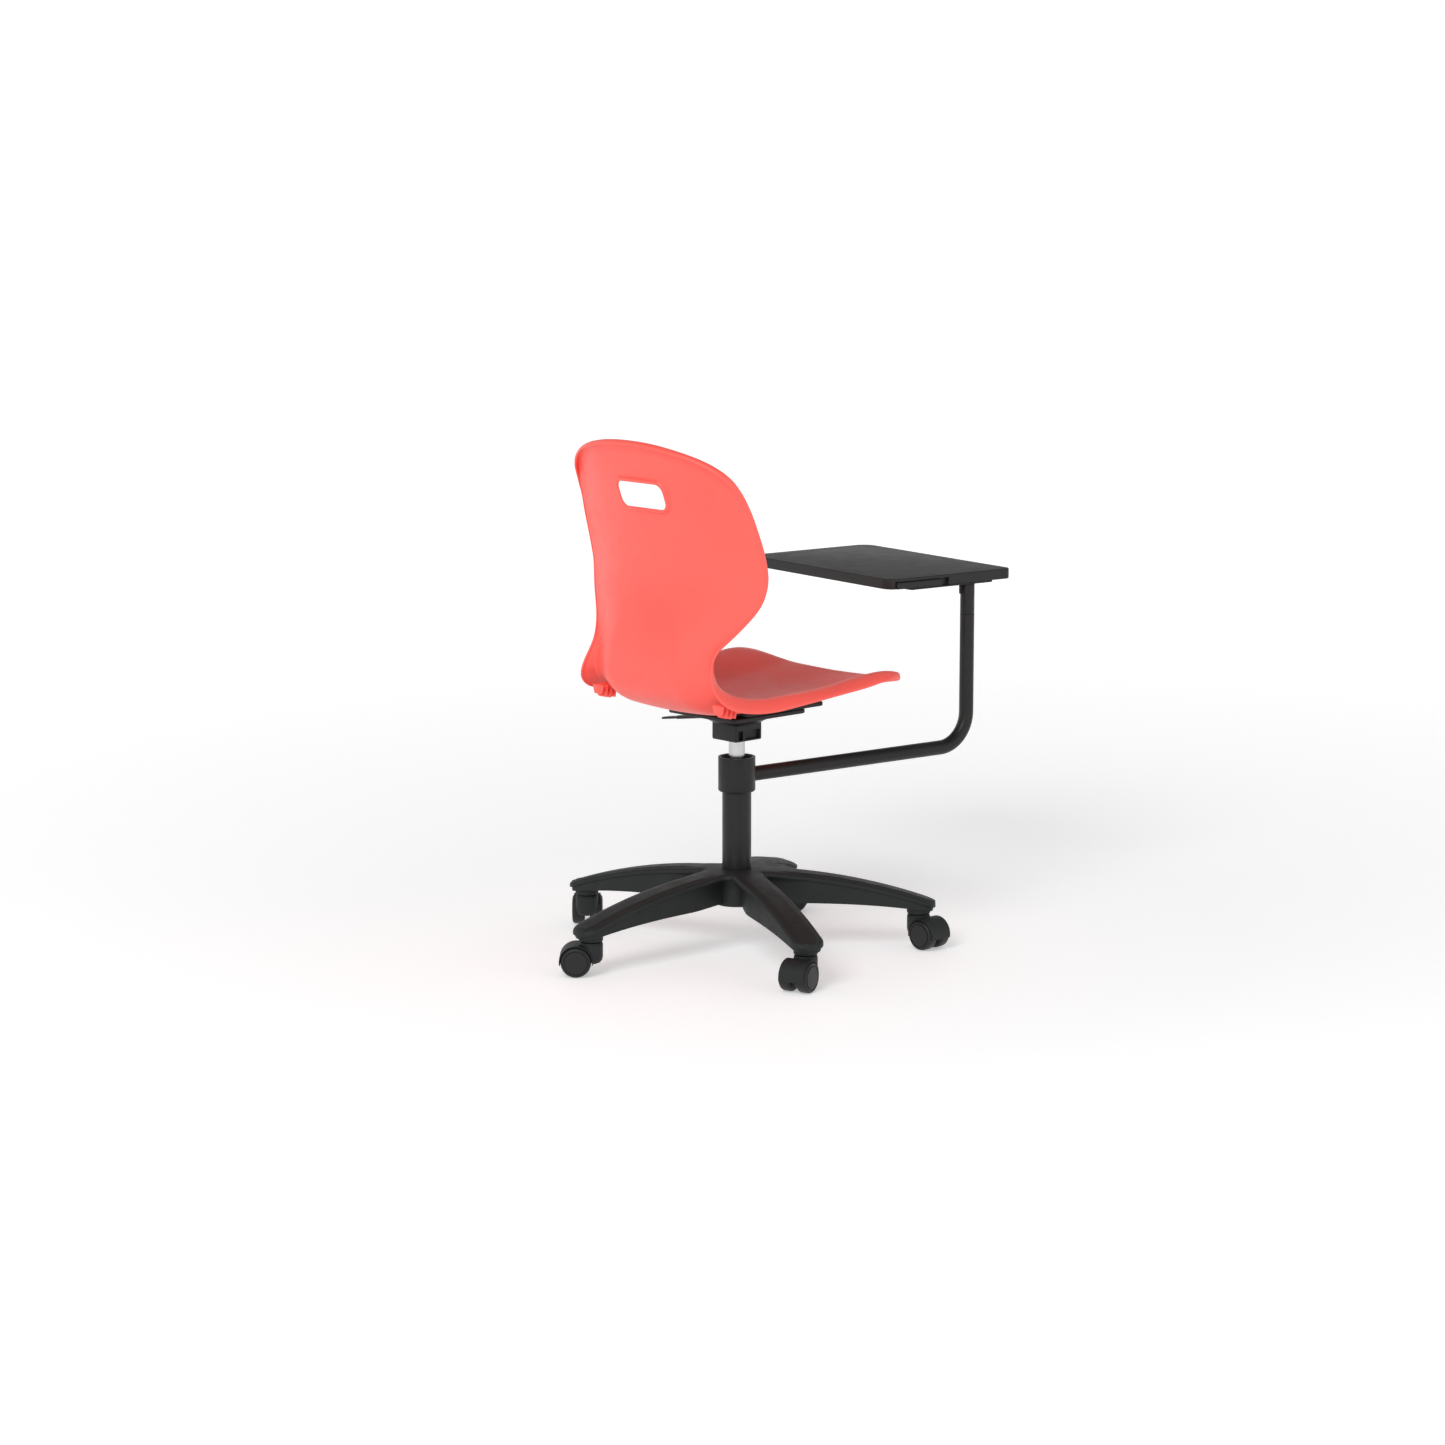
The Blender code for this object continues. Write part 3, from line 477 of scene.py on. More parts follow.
def hand_hole_cutter(steps_round=7):
    """Rings of a rounded rectangle, one behind the other, wider outside the wall."""
    shape = bmesh.new()
    bmesh.ops.create_circle(shape, segments=4 * steps_round + 4, radius=1.0, cap_ends=True)
    face = shape.faces[:][0]
    angles = {corner: atan2(corner.co.y, corner.co.x) for corner in shape.verts}
    order = sorted(angles.values())
    for level, (back, flare) in enumerate(HOLE_RINGS):
        if level:
            grown = bmesh.ops.extrude_face_region(shape, geom=[face])["geom"]
            old, face = face, only(bmesh.types.BMFace, grown)[0]
            fresh = [loop.vert for loop in face.loops]
            angles = {corner: min(angles.items(), key=lambda pair: (pair[0].co - corner.co).length)[1]
                      for corner in fresh}
            if level > 1:
                shape.faces.remove(old)
        for corner, angle in angles.items():
            quarter = order.index(angle) // (steps_round + 1)
            step = order.index(angle) % (steps_round + 1)
            bow = radians(90.0 * quarter - 180.0 + 90.0 * step / steps_round)
            cx = (HOLE_WIDTH / 2 - HOLE_CORNER) * (1 if quarter in (1, 2) else -1)
            cz = (HOLE_HEIGHT / 2 - HOLE_CORNER) * (1 if quarter in (2, 3) else -1)
            x = cx + (HOLE_CORNER + flare) * cos(bow)
            z = HOLE_Z + cz + (HOLE_CORNER + flare) * sin(bow)
            corner.co = (x, sitting_depth(x, z) + LIP_HEIGHT + back, z)
    bmesh.ops.recalc_face_normals(shape, faces=shape.faces)
    return shape


shell = to_object("seat_shell_moulding", sheet)
shell.vertex_groups.new(name="rim")
wall = shell.modifiers.new("wall", "SOLIDIFY")
wall.thickness, wall.offset, wall.vertex_group = RIM_WALL * MM, -1.0, "rim"
smooth = shell.modifiers.new("smooth", "SUBSURF")
smooth.levels = smooth.render_levels = 2
bake_modifiers(shell)
raise_lip(shell)
combine(shell, hand_hole_cutter())
make_piece("seat_shell_moulding", shell, coral, "seat", ["seat_shell"], crease=40)

# %% [markdown]
# Under both rear corners of the seat stand ribbed feet, moulded in one with the shell. They keep stacked shells
# apart. Each is a narrow web with four cross fins, and the rear fins are shorter because the shell rises there.

# %% Stacking feet under the rear corners
def stacking_foot(side):
    foot = soften(block((5, 30, 18), (0, 0, 454)), 0.8, 2)
    for along, low in ((-15.0, 440.0), (-5.5, 440.0), (4.5, 442.0), (14.5, 448.0)):
        fin = block((28, 3.0, 464 - low), (0, along, (464 + low) / 2))
        for corner in fin.verts:
            if corner.co.z < 455:
                corner.co.x *= 0.66
        add_shape(foot, soften(fin, 0.7, 2))
    return move(foot, by=(side * 150.0, 168.0, 0))


for side, word in ((-1, "right"), (1, "left")):
    make_piece(f"stacking_foot_{word}", stacking_foot(side), coral, "seat")

# %% [markdown]
# ## The five-leg base
# The base is one nylon moulding. Seen from above it is a star whose legs end in half rounds and whose valleys are
# filleted. One half of one leg is enough: a grid is laid over it, mirrored, and turned five times. The star's
# border is then extruded down to make the cap's lip, in to the walls and down again.

# %% Plan of half a leg
LEGS, FIRST_LEG = 5, 14.0
LEG_END, TIP_LENGTH, BORE = 344.0, 24.0, 25.3
VALLEY_FILLET, LEG_HALF, LEG_TAPER = 11.0, 29.0, 1.5
ROOT_TOP, ROOT_LOW = 142.2, 84.3
HUB_TUBE, HUB_LOW = 38.0, 80.0
WALL_ROOT, WALL_ROOT_TURN = 7.0, radians(11.0)
HALF_TURN = pi / LEGS
fillet_center = (LEG_HALF + VALLEY_FILLET) / sin(HALF_TURN)
fillet_end = fillet_center * cos(HALF_TURN)


def leg_half(x):
    return LEG_HALF - LEG_TAPER * x / LEG_END


def cap_height(x, y, edge):
    """The cap's crown: a raised middle, a shallow step and a rounded border."""
    along = hypot(x, y * 0.6) / LEG_END
    top = ROOT_TOP - 9.0 * along - 53.0 * along ** 2.2
    step = 1.7 * share_of(edge, 0.56, 0.66) * share_of(x, 62.0, 92.0)
    return top - 0.5 * edge ** 2 - step - 3.6 * share_of(edge, 0.80, 1.0) ** 2.4


def plan_rows():
    """For each row of the grid: the point on the leg's middle line, the point on its border, and how far the
    border point is an outside edge."""
    rows = [(middle, (radius * cos(HALF_TURN), radius * sin(HALF_TURN)), outside) for middle, radius, outside in
            ((BORE, BORE, 0.0), (31.0, 33.0, 0.0), (37.0, 42.0, 0.25), (42.0, 50.0, 0.7))]
    for step in range(5):
        bow = HALF_TURN + pi + (1.5 * pi - HALF_TURN - pi) * step / 4
        x = fillet_end + VALLEY_FILLET * cos(bow)
        y = LEG_HALF + VALLEY_FILLET + VALLEY_FILLET * sin(bow)
        rows.append((46.0 + (fillet_end - 46.0) * step / 4, (x, y), 1.0))
    straight_end = LEG_END - TIP_LENGTH
    for step in range(1, 17):
        x = fillet_end + (straight_end - fillet_end) * step / 16
        rows.append((x, (x, leg_half(x)), 1.0))
    for step in range(1, 9):
        bow = 0.5 * pi * step / 8
        x = straight_end + TIP_LENGTH * sin(bow)
        rows.append((x, (x, leg_half(x) * max(0.0, cos(bow)) ** 0.8), 1.0))
    return rows


ROWS_OF_PLAN = plan_rows()
ACROSS = (0.0, 0.22, 0.42, 0.56, 0.66, 0.80, 0.90, 0.96, 1.0)
print(len(ROWS_OF_PLAN), "rows and", len(ACROSS), "columns in half a leg")

# %% Lay the grid, mirror it and turn it five times
def star_cap():
    half = bmesh.new()
    rows, columns = len(ROWS_OF_PLAN), len(ACROSS)
    bmesh.ops.create_grid(half, x_segments=rows - 1, y_segments=columns - 1, size=1.0)
    for corner in half.verts:
        row = round((corner.co.x + 1) / 2 * (rows - 1))
        share = ACROSS[round((corner.co.y + 1) / 2 * (columns - 1))]
        middle, (bx, by), outside = ROWS_OF_PLAN[row]
        straight = Vector((middle + (bx - middle) * share, by * share, 0))
        radius = middle + (hypot(bx, by) - middle) * share
        round_way = Vector((radius * cos(HALF_TURN * share), radius * sin(HALF_TURN * share), 0))
        spot = round_way.lerp(straight, min(1.0, row / 6))
        corner.co = (spot.x, spot.y, cap_height(spot.x, spot.y, share * outside))
    mirrored = bmesh.ops.duplicate(half, geom=half.verts[:] + half.edges[:] + half.faces[:])["geom"]
    bmesh.ops.scale(half, vec=(1, -1, 1), verts=only(bmesh.types.BMVert, mirrored))
    bmesh.ops.remove_doubles(half, verts=half.verts, dist=0.02)
    bmesh.ops.spin(half, geom=half.verts[:] + half.edges[:] + half.faces[:], cent=(0, 0, 0), axis=(0, 0, 1),
                   angle=2 * pi, steps=LEGS, use_duplicate=True)
    bmesh.ops.remove_doubles(half, verts=half.verts, dist=0.02)
    bmesh.ops.recalc_face_normals(half, faces=half.faces)
    if sum(face.normal.z for face in half.faces) < 0:
        bmesh.ops.reverse_faces(half, faces=half.faces)
    return half


star = star_cap()
rims = [edge for edge in star.edges if edge.is_boundary]
print("star cap:", len(star.faces), "faces and", len(rims), "border edges")

# %% [markdown]
# Under the cap the walls stand back from the lip. At the hub they draw in further, so that the round tube of the
# hub shows in each valley. Each ring of the wall is the ring above, moved to its own place.

# %% Extrude the lip, the walls and the underside
def leg_place(point):
    """A point as distance along and across the nearest leg, and that leg's angle."""
    angle = atan2(point.y, point.x)
    leg = round(angle / (2 * HALF_TURN)) * 2 * HALF_TURN
    radius = hypot(point.x, point.y)
    return radius * cos(angle - leg), radius * sin(angle - leg), leg


def wall_spot(point, inset):
    """Where the wall stands under a point of the cap's border."""
    x, y, leg = leg_place(point)
    side = -1.0 if y < 0 else 1.0
    half = WALL_ROOT + (leg_half(x) - inset - WALL_ROOT) * share_of(x, 46.0, 112.0) ** 0.8
    if x < 52.0:
        bow = WALL_ROOT_TURN + (HALF_TURN - WALL_ROOT_TURN) * share_of(abs(y), 29.0, 36.0)
        spot = Vector((HUB_TUBE * cos(bow), HUB_TUBE * sin(bow) * side, 0))
    elif x < LEG_END - TIP_LENGTH:
        spot = Vector((x, half * side, 0))
    else:
        share = max(0.0, 1.0 - inset / hypot(x - LEG_END + TIP_LENGTH, y))
        spot = Vector((LEG_END - TIP_LENGTH + (x - LEG_END + TIP_LENGTH) * share, y * share, 0))
    spot.rotate(Matrix.Rotation(leg, 3, "Z"))
    return spot


def low_edge(point):
    along = leg_place(point)[0] / LEG_END
    return ROOT_LOW - along - 20.0 * along ** 3


def ring_down(shape, edges, place):
    """Extrude a closed border and put each new corner where `place` says."""
    grown = bmesh.ops.extrude_edge_only(shape, edges=edges)["geom"]
    for corner in only(bmesh.types.BMVert, grown):
        corner.co = place(corner.co.copy())
    return only(bmesh.types.BMEdge, grown)


def close_star(star):
    ends = [edge for edge in star.edges if edge.is_boundary]
    border = [edge for edge in ends if edge.verts[0].co.xy.length > HUB_TUBE]
    bore = [edge for edge in ends if edge.verts[0].co.xy.length < HUB_TUBE]
    lip = ring_down(star, border, lambda at: at - Vector((0, 0, 1.6)))
    lip = ring_down(star, lip, lambda at: at - Vector((0, 0, 2.6)))
    lip = ring_down(star, lip, lambda at: at.lerp(Vector((*wall_spot(at, 1.2).xy, at.z - 1.0)), 0.5))
    walls = ring_down(star, lip, lambda at: Vector((*wall_spot(at, 3.4).xy, at.z - 0.8)))
    walls = ring_down(star, walls, lambda at: Vector((*at.xy, low_edge(at) + 2.0)))
    ring_down(star, walls, lambda at: Vector((*(at.xy * 0.997), low_edge(at))))
    ring_down(star, bore, lambda at: Vector((*at.xy, HUB_LOW + 4.0)))
    bmesh.ops.remove_doubles(star, verts=star.verts, dist=0.05)
    open_edges = [edge for edge in star.edges if edge.is_boundary]
    bmesh.ops.triangle_fill(star, use_beauty=True, use_dissolve=False, edges=open_edges)
    bmesh.ops.recalc_face_normals(star, faces=star.faces)
    return move(star, turn=FIRST_LEG)


star = close_star(star)
print("star:", len(star.faces), "faces, open edges:", sum(edge.is_boundary for edge in star.edges))

# %% [markdown]
# The hub's tube, the five round bosses that hold the castors, the pocket under each leg and the sockets are
# joined to the star or cut from it, as a toolmaker would add and remove cores.

# %% Hub tube, bosses, pockets and sockets
STEM_CIRCLE, BOSS, BOSS_LOW, STEM = 315.0, 20.3, 59.0, 5.5


def leg_turn(index):
    return FIRST_LEG + 360.0 * index / LEGS


def leg_pocket():
    """The hollow under a leg, open downwards."""
    pocket = block((1, 1, 1), (0, 0, 0))
    long_edges = [edge for edge in pocket.edges if abs(edge.verts[0].co.x - edge.verts[1].co.x) > 0.5]
    bmesh.ops.subdivide_edges(pocket, edges=long_edges, cuts=9, use_grid_fill=True)
    for corner in pocket.verts:
        x = 62.0 + 224.0 * (corner.co.x + 0.5)
        roof = cap_height(x, 0, 0) - 9.0
        corner.co = (x, 1.0 if corner.co.y > 0 else -1.0, roof if corner.co.z > 0 else 40.0)
        corner.co.y *= min(leg_half(x) - 7.5, 10.0 + (x - 62.0) * 0.35)
    return pocket


base = to_object("base_moulding", star)
hub = turned([(BORE, HUB_LOW), (HUB_TUBE - 1.5, HUB_LOW), (HUB_TUBE, HUB_LOW + 1.5), (HUB_TUBE, 128.0),
              (BORE, 128.0), (BORE, HUB_LOW)], 96)
combine(base, hub, "UNION")
for index in range(LEGS):
    boss = turned([(0, BOSS_LOW), (BOSS - 1.2, BOSS_LOW), (BOSS, BOSS_LOW + 1.2), (BOSS, 84.0), (0, 84.0)], 48)
    combine(base, move(move(boss, by=(STEM_CIRCLE, 0, 0)), turn=leg_turn(index)), "UNION")
for index in range(LEGS):
    combine(base, move(leg_pocket(), turn=leg_turn(index)))
    socket = turned([(0, 50.0), (STEM + 0.3, 50.0), (STEM + 0.3, 78.0), (0, 78.0)], 32)
    combine(base, move(move(socket, by=(STEM_CIRCLE, 0, 0)), turn=leg_turn(index)))
make_piece("base_moulding", base, nylon, "base", ["base_star"], crease=38)

# %% [markdown]
# ## Castors
# A twin-wheel castor is a hood that turns on a steel stem, and two wheels on one axle behind it. The joints in
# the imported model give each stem's place and the way its wheels trail, so one shape serves all five.

# %% Where the castors stand
joints = {joint["name"]: joint for joint in frame["joints"]}


def castor_place(number):
    stem = Vector(joints[f"castor_{number}_swivel"]["pos_m"]) - COLUMN
    wheel = Vector(joints[f"castor_{number}_wheel_left_spin"]["pos_m"]) - COLUMN
    trail = wheel - stem
    return (stem.x / MM, stem.y / MM, 0), degrees(atan2(trail.y, trail.x)), wheel.z / MM


AXLE_HEIGHT = castor_place(1)[2]
TRAIL, WHEEL, HOOD, HOOD_HALF, HOOD_LOW = 25.0, AXLE_HEIGHT - 0.03, 28.6, 23.5, 20.5
WHEEL_GAP, WEB_HALF, AXLE_R, AXLE_BORE = 1.3, 3.0, 3.0, 3.3
print("axle height", round(AXLE_HEIGHT, 3), "castor 1 stands at", castor_place(1)[0])


def along_axle(shape):
    """Lay a shape that was turned round Z along the axle."""
    return move(shape, by=(TRAIL, 0, AXLE_HEIGHT), turn=-90, axis="X")

# %% [markdown]
# The hood is a round stem housing that grows into a drum over the wheels. Two wells leave a thin fender on each
# side of a middle web. The drum's rim stands proud of the wheel's face by a fine step.

# %% Shape a hood
def drum(radius, start, end, rounding=0.0):
    shape = turned([(0, start), (radius - rounding, start), (radius, start + rounding), (radius, end - rounding),
                    (radius - rounding, end), (0, end)] if rounding else
                   [(0, start), (radius, start), (radius, end), (0, end)], 72)
    return along_axle(shape)


def castor_hood(number):
    at, turn, _ = castor_place(number)

    def set_down(shape):
        return move(shape, by=at, turn=turn)

    housing = turned([(0, 19.0), (11.0, 20.5), (15.5, 22.5), (18.6, 26.5), (20.0, 32.5), (20.0, 54.2),
                      (19.2, 55.0), (19.2, 56.2), (18.6, 57.0), (0, 57.0)], 64)
    hood = to_object(f"castor_{number}_hood_moulding", set_down(housing))
    combine(hood, set_down(drum(HOOD, -HOOD_HALF, HOOD_HALF, 1.0)), "UNION")
    combine(hood, set_down(block((140, 80, 40), (TRAIL, 0, HOOD_LOW - 20))))
    combine(hood, set_down(drum(WHEEL + WHEEL_GAP, -40.0, -WEB_HALF)))
    combine(hood, set_down(drum(WHEEL + WHEEL_GAP, WEB_HALF, 40.0)))
    combine(hood, set_down(drum(AXLE_BORE, -10.0, 10.0)))
    combine(hood, set_down(turned([(0, 43), (STEM + 0.3, 43), (STEM + 0.3, 70), (0, 70)], 32)))
    return hood


for number in range(1, LEGS + 1):
    body = f"castor_{number}"
    make_piece(f"{body}_hood_moulding", castor_hood(number), nylon, body, [f"{body}_hood"])

# %% [markdown]
# Each wheel is turned: a face with a fine groove, a rounded shoulder, the tread, and a well rounded inner edge.
# The two inner edges make the notch that shows between the wheels. The stem carries a loose washer ring.

# %% Turn the wheels, axles and stems
WHEEL_IN, WHEEL_OUT, SHOULDER, SHOULDER_START, INNER_ROUND = 4.5, 27.0, 6.5, 21.2, 7.5


def wheel_shape():
    out, tread_out, tread_in = WHEEL_OUT, WHEEL_OUT - SHOULDER, WHEEL_IN + SHOULDER
    profile = [(0, out), (18.6, out - 0.3), (19.2, out - 1.8), (20.8, out - 1.8), (SHOULDER_START, out - 0.6)]
    bows = [0.5 * pi * step / 8 for step in range(9)]
    profile += [(SHOULDER_START + (WHEEL - SHOULDER_START) * sin(bow),
                 tread_out + (out - 0.6 - tread_out) * cos(bow)) for bow in bows]
    profile += [(WHEEL - INNER_ROUND * (1 - cos(bow)), tread_in - SHOULDER * sin(bow)) for bow in bows]
    return turned(profile + [(AXLE_BORE, WHEEL_IN), (AXLE_BORE, out - 6.0), (0, out - 6.0)], 96)


for number in range(1, LEGS + 1):
    at, turn, _ = castor_place(number)
    for side, word in ((1, "left"), (-1, "right")):
        wheel = wheel_shape()
        if side < 0:
            move(wheel, turn=180, axis="X")
        body = f"castor_{number}_wheel_{word}"
        make_piece(f"{body}_turned", move(along_axle(wheel), by=at, turn=turn), tread, body, [body])
    axle = soften(turned([(0, -20), (AXLE_R, -20), (AXLE_R, 20), (0, 20)], 32), 0.5)
    make_piece(f"castor_{number}_axle_pin", move(along_axle(axle), by=at, turn=turn), zinc,
               f"castor_{number}", [f"castor_{number}_axle"])
    stem = turned([(0, 76), (STEM - 0.8, 76), (STEM, 75), (STEM, 58.6), (9, 58.6), (9, 57.4), (STEM, 57.4),
                   (STEM, 44.0), (0, 44.0)], 40)
    make_piece(f"castor_{number}_stem_pin", move(stem, by=at), zinc, f"castor_{number}",
               [f"castor_{number}_stem"])

# %% [markdown]
# ## Column, lift and collar
# Tubes are turned with a real wall, because the eye sees straight into their upper ends. The collar of the arm
# has a small chamfer below and a plain sawn end above, with the bush showing inside it.

# %% Turn the column, the cylinder and the collar
COLUMN_R, COLUMN_LOW, COLUMN_HIGH = 25.0, 84.0, 327.0
CYLINDER_R, CYLINDER_LOW, CYLINDER_HIGH, ROD_R = 14.0, 166.0, 400.0, 5.0
COLLAR_R, COLLAR_BORE, COLLAR_LOW, COLLAR_HIGH = 32.0, 27.3, 277.0, 337.0

COLUMN_BORE, COLUMN_FLOOR = 22.5, 87.0

column = turned([(COLUMN_R, COLUMN_HIGH), (COLUMN_R, COLUMN_LOW), (ROD_R + 0.3, COLUMN_LOW),
                 (ROD_R + 0.3, COLUMN_FLOOR), (COLUMN_BORE, COLUMN_FLOOR), (COLUMN_BORE, COLUMN_HIGH),
                 (COLUMN_R, COLUMN_HIGH)], 96)
make_piece("column_tube_turned", soften(column, 0.5), powder_coat, "base", ["column_tube"])
cylinder = turned([(0, 388), (4, 388), (4, CYLINDER_HIGH), (11.5, CYLINDER_HIGH), (CYLINDER_R, 366),
                   (CYLINDER_R, CYLINDER_LOW + 2), (CYLINDER_R - 2, CYLINDER_LOW), (ROD_R + 0.3, CYLINDER_LOW),
                   (ROD_R + 0.3, 326), (0, 326)], 96)
make_piece("gas_cylinder_turned", soften(cylinder, 0.3), satin_chrome, "seat", ["gas_cylinder"])
collar = turned([(COLLAR_R, COLLAR_HIGH), (COLLAR_R, COLLAR_LOW + 2), (COLLAR_R - 2, COLLAR_LOW), (29.0, COLLAR_LOW),
                 (29.0, COLLAR_LOW + 7), (COLLAR_BORE, COLLAR_LOW + 7), (COLLAR_BORE, COLLAR_HIGH),
                 (COLLAR_R, COLLAR_HIGH)], 96)
make_piece("arm_collar_turned", soften(collar, 0.6), powder_coat, "arm", ["arm_collar"])

# %% [markdown]
# ## The arm
# One length of round tube leaves the collar level and bends up through a quarter turn to the tablet's post. A
# circle is spun along: first pushed straight, then spun round the bend's centre, then pushed up.

# %% Bend the arm tube
ARM_TURN, ARM_REACH, ARM_HEIGHT, ARM_BEND = -5.9, 516.0, 302.6, 60.0
ARM_R, ARM_WALL, ARM_SEAM, ARM_START = 12.8, 2.0, 537.0, 29.5


def push(shape, ring, by):
    """Extrude a ring of edges straight and give back the new ring."""
    grown = bmesh.ops.extrude_edge_only(shape, edges=ring)["geom"]
    bmesh.ops.translate(shape, vec=by, verts=only(bmesh.types.BMVert, grown))
    return only(bmesh.types.BMEdge, grown)


def tube_skin(radius):
    """An open tube along -Y, up through the bend, to the seam with the post."""
    skin = bmesh.new()
    bmesh.ops.create_circle(skin, segments=48, radius=radius)
    move(skin, by=(0, -ARM_START, ARM_HEIGHT), turn=90, axis="X")
    bend_start = ARM_REACH - ARM_BEND
    ring = push(skin, skin.edges[:], (0, ARM_START - bend_start, 0))
    spun = bmesh.ops.spin(skin, geom=ring, cent=(0, -bend_start, ARM_HEIGHT + ARM_BEND),
                          axis=(-1, 0, 0), angle=0.5 * pi, steps=20)["geom_last"]
    push(skin, only(bmesh.types.BMEdge, spun), (0, 0, ARM_SEAM - ARM_HEIGHT - ARM_BEND))
    return skin


def closed_tube():
    outer = tube_skin(ARM_R)
    add_shape(outer, tube_skin(ARM_R - ARM_WALL))
    ends = [edge for edge in outer.edges if edge.is_boundary]
    for end in ([e for e in ends if e.verts[0].co.z > 500], [e for e in ends if e.verts[0].co.z < 500]):
        bmesh.ops.bridge_loops(outer, edges=end)
    bmesh.ops.recalc_face_normals(outer, faces=outer.faces)
    return outer


arm = to_object("arm_tube_bent", move(closed_tube(), turn=ARM_TURN))
combine(arm, turned([(0, 250), (COLLAR_R + 0.3, 250), (COLLAR_R + 0.3, 360), (0, 360)], 96))
make_piece("arm_tube_bent", arm, powder_coat, "arm", ["arm_tube"])

# %% [markdown]
# ## The writing tablet
# The tablet is a moulded board with rounded corners and a small rounding all the way round. In the edge over the
# post there is a rebate that takes a sliding bar, with a dark gap above it and an open slot at its end.

# %% Shape the tablet and its post
TABLET_TURN = ARM_TURN - 1.2
TABLET_TOP, TABLET_THICK, TABLET_WIDTH, TABLET_DEPTH = 615.0, 19.0, 421.0, 275.0
TO_SIDE, TO_FRONT = 13.0, 91.0
POST = Vector((0, -ARM_REACH, 0))
POST.rotate(Matrix.Rotation(radians(ARM_TURN), 3, "Z"))
PLATE_TOP = TABLET_TOP - TABLET_THICK - 0.3
TABLET_SCREWS = [(x, y) for x in (4, 38) for y in (-38, 122)]
CORNER, NEAR_CORNER = 27.0, 12.0


def on_post(shape):
    return move(shape, turn=TABLET_TURN, by=POST)


def tablet_board():
    board = block((TABLET_WIDTH, TABLET_DEPTH, TABLET_THICK),
                  (TABLET_WIDTH / 2 - TO_SIDE, TABLET_DEPTH / 2 - TO_FRONT, TABLET_TOP - TABLET_THICK / 2))

    def near_corner():
        return min(uprights(board), key=lambda edge: edge.verts[0].co.x + edge.verts[0].co.y)

    near = near_corner()
    round_edges(board, [edge for edge in uprights(board) if edge is not near], CORNER, 12)
    round_edges(board, [near_corner()], NEAR_CORNER, 12)
    return soften(board, 2.0, 3, 60)


def drill_for_screws(made, top):
    for x, y in TABLET_SCREWS:
        hole = turned([(0, 580), (2.3, 580), (2.3, top), (0, top)], 24)
        combine(made, on_post(move(hole, by=(x, y, 0))))


tablet = to_object("tablet_board", on_post(tablet_board()))
combine(tablet, on_post(block((15, 118, 14.5), (-TO_SIDE, 112, PLATE_TOP + 7.05))))
drill_for_screws(tablet, TABLET_TOP - 6)
make_piece("tablet_board", tablet, tablet_skin, "tablet", ["tablet_top"])

bar = soften(block((5.6, 101, 11.6), (-TO_SIDE + 3.6, 117.5, PLATE_TOP + 6.4)), 0.9, 3)
groove = soften(block((1.2, 94, 0.9), (-TO_SIDE + 0.5, 117.5, PLATE_TOP + 10.0)), 0.2, 1)
bar = to_object("edge_bar_sliding", on_post(bar))
combine(bar, on_post(groove))
make_piece("edge_bar_sliding", bar, tablet_skin, "tablet", ["edge_bar"])

spigot = ARM_R - ARM_WALL - 1.2
post = turned([(0, PLATE_TOP - 3.3), (ARM_R, PLATE_TOP - 3.3), (ARM_R, ARM_SEAM + 1.6), (spigot, ARM_SEAM + 1.6),
               (spigot, ARM_SEAM - 60), (0, ARM_SEAM - 60)], 64)
make_piece("tablet_post_turned", on_post(soften(post, 0.4)), powder_coat, "tablet",
           ["tablet_post"])

# %% [markdown]
# A pressed steel bracket carries the board. Its rounded plate is stiffened by a turned-down rib beside the post,
# and a small latch tab stands on the post just below it.

# %% Press the bracket
plate = rounded_plate((64, 190, 3), (21, 42, PLATE_TOP - 1.5), 9.0, 0.5)
bracket = to_object("tablet_bracket_pressed", on_post(plate))
drill_for_screws(bracket, 606)
make_piece("tablet_bracket_pressed", bracket, powder_coat, "tablet", ["tablet_bracket"])
rib = soften(block((3, 70, 5.0), (24, 70, PLATE_TOP - 5.4)), 1.0, 2)
make_piece("tablet_bracket_rib", on_post(rib), powder_coat, "tablet")
tab = soften(block((5, 5, 17), (2.0, ARM_R + 0.8, PLATE_TOP - 12)), 0.8, 2)
make_piece("post_latch_tab", on_post(tab), powder_coat, "tablet")

# %% [markdown]
# ## Seat mechanism
# Under the shell sit a nylon pad and a square steel plate. A pressed bowl narrows down to a square socket that
# grips the lift's taper. The socket's sides have windows, and the lever comes out through a slot in the bowl.

# %% Stack the pad and the plate
SEAT_SCREWS = ((-62, -62), (62, -62), (-62, 45), (62, 45))
pad = to_object("seat_pad_moulding", rounded_plate((174, 187, 6.8), (0, -33.5, 424.6), 12.0, 1.4))
plate = to_object("seat_plate_pressed", rounded_plate((170, 170, 7.0), (0, 0, 416.3), 10.0, 1.6))
for made in (pad, plate):
    for x, y in SEAT_SCREWS:
        combine(made, move(turned([(0, 400), (3.3, 400), (3.3, 429), (0, 429)], 24), by=(x, y, 0)))
for step in range(5):
    combine(plate, rounded_plate((120, 3.0, 1.2), (0, -28 + 14 * step, 412.9), 1.2, 0.3))
make_piece("seat_pad_moulding", pad, nylon, "seat", ["seat_pad"])
make_piece("seat_plate_pressed", plate, powder_coat, "seat", ["seat_plate"])

# %% Press the bowl and cut its windows
SOCKET, SOCKET_LOW, SOCKET_HIGH, BOWL_LOW, BOWL_HIGH, BOWL_TOP = 61.0, 367.0, 398.0, 42.5, 63.0, 412.5
BOWL_FLOOR, BOWL_LIP = 400.5, 5.0
PIVOT_X, PIVOT_Z = 30.0, 404.0

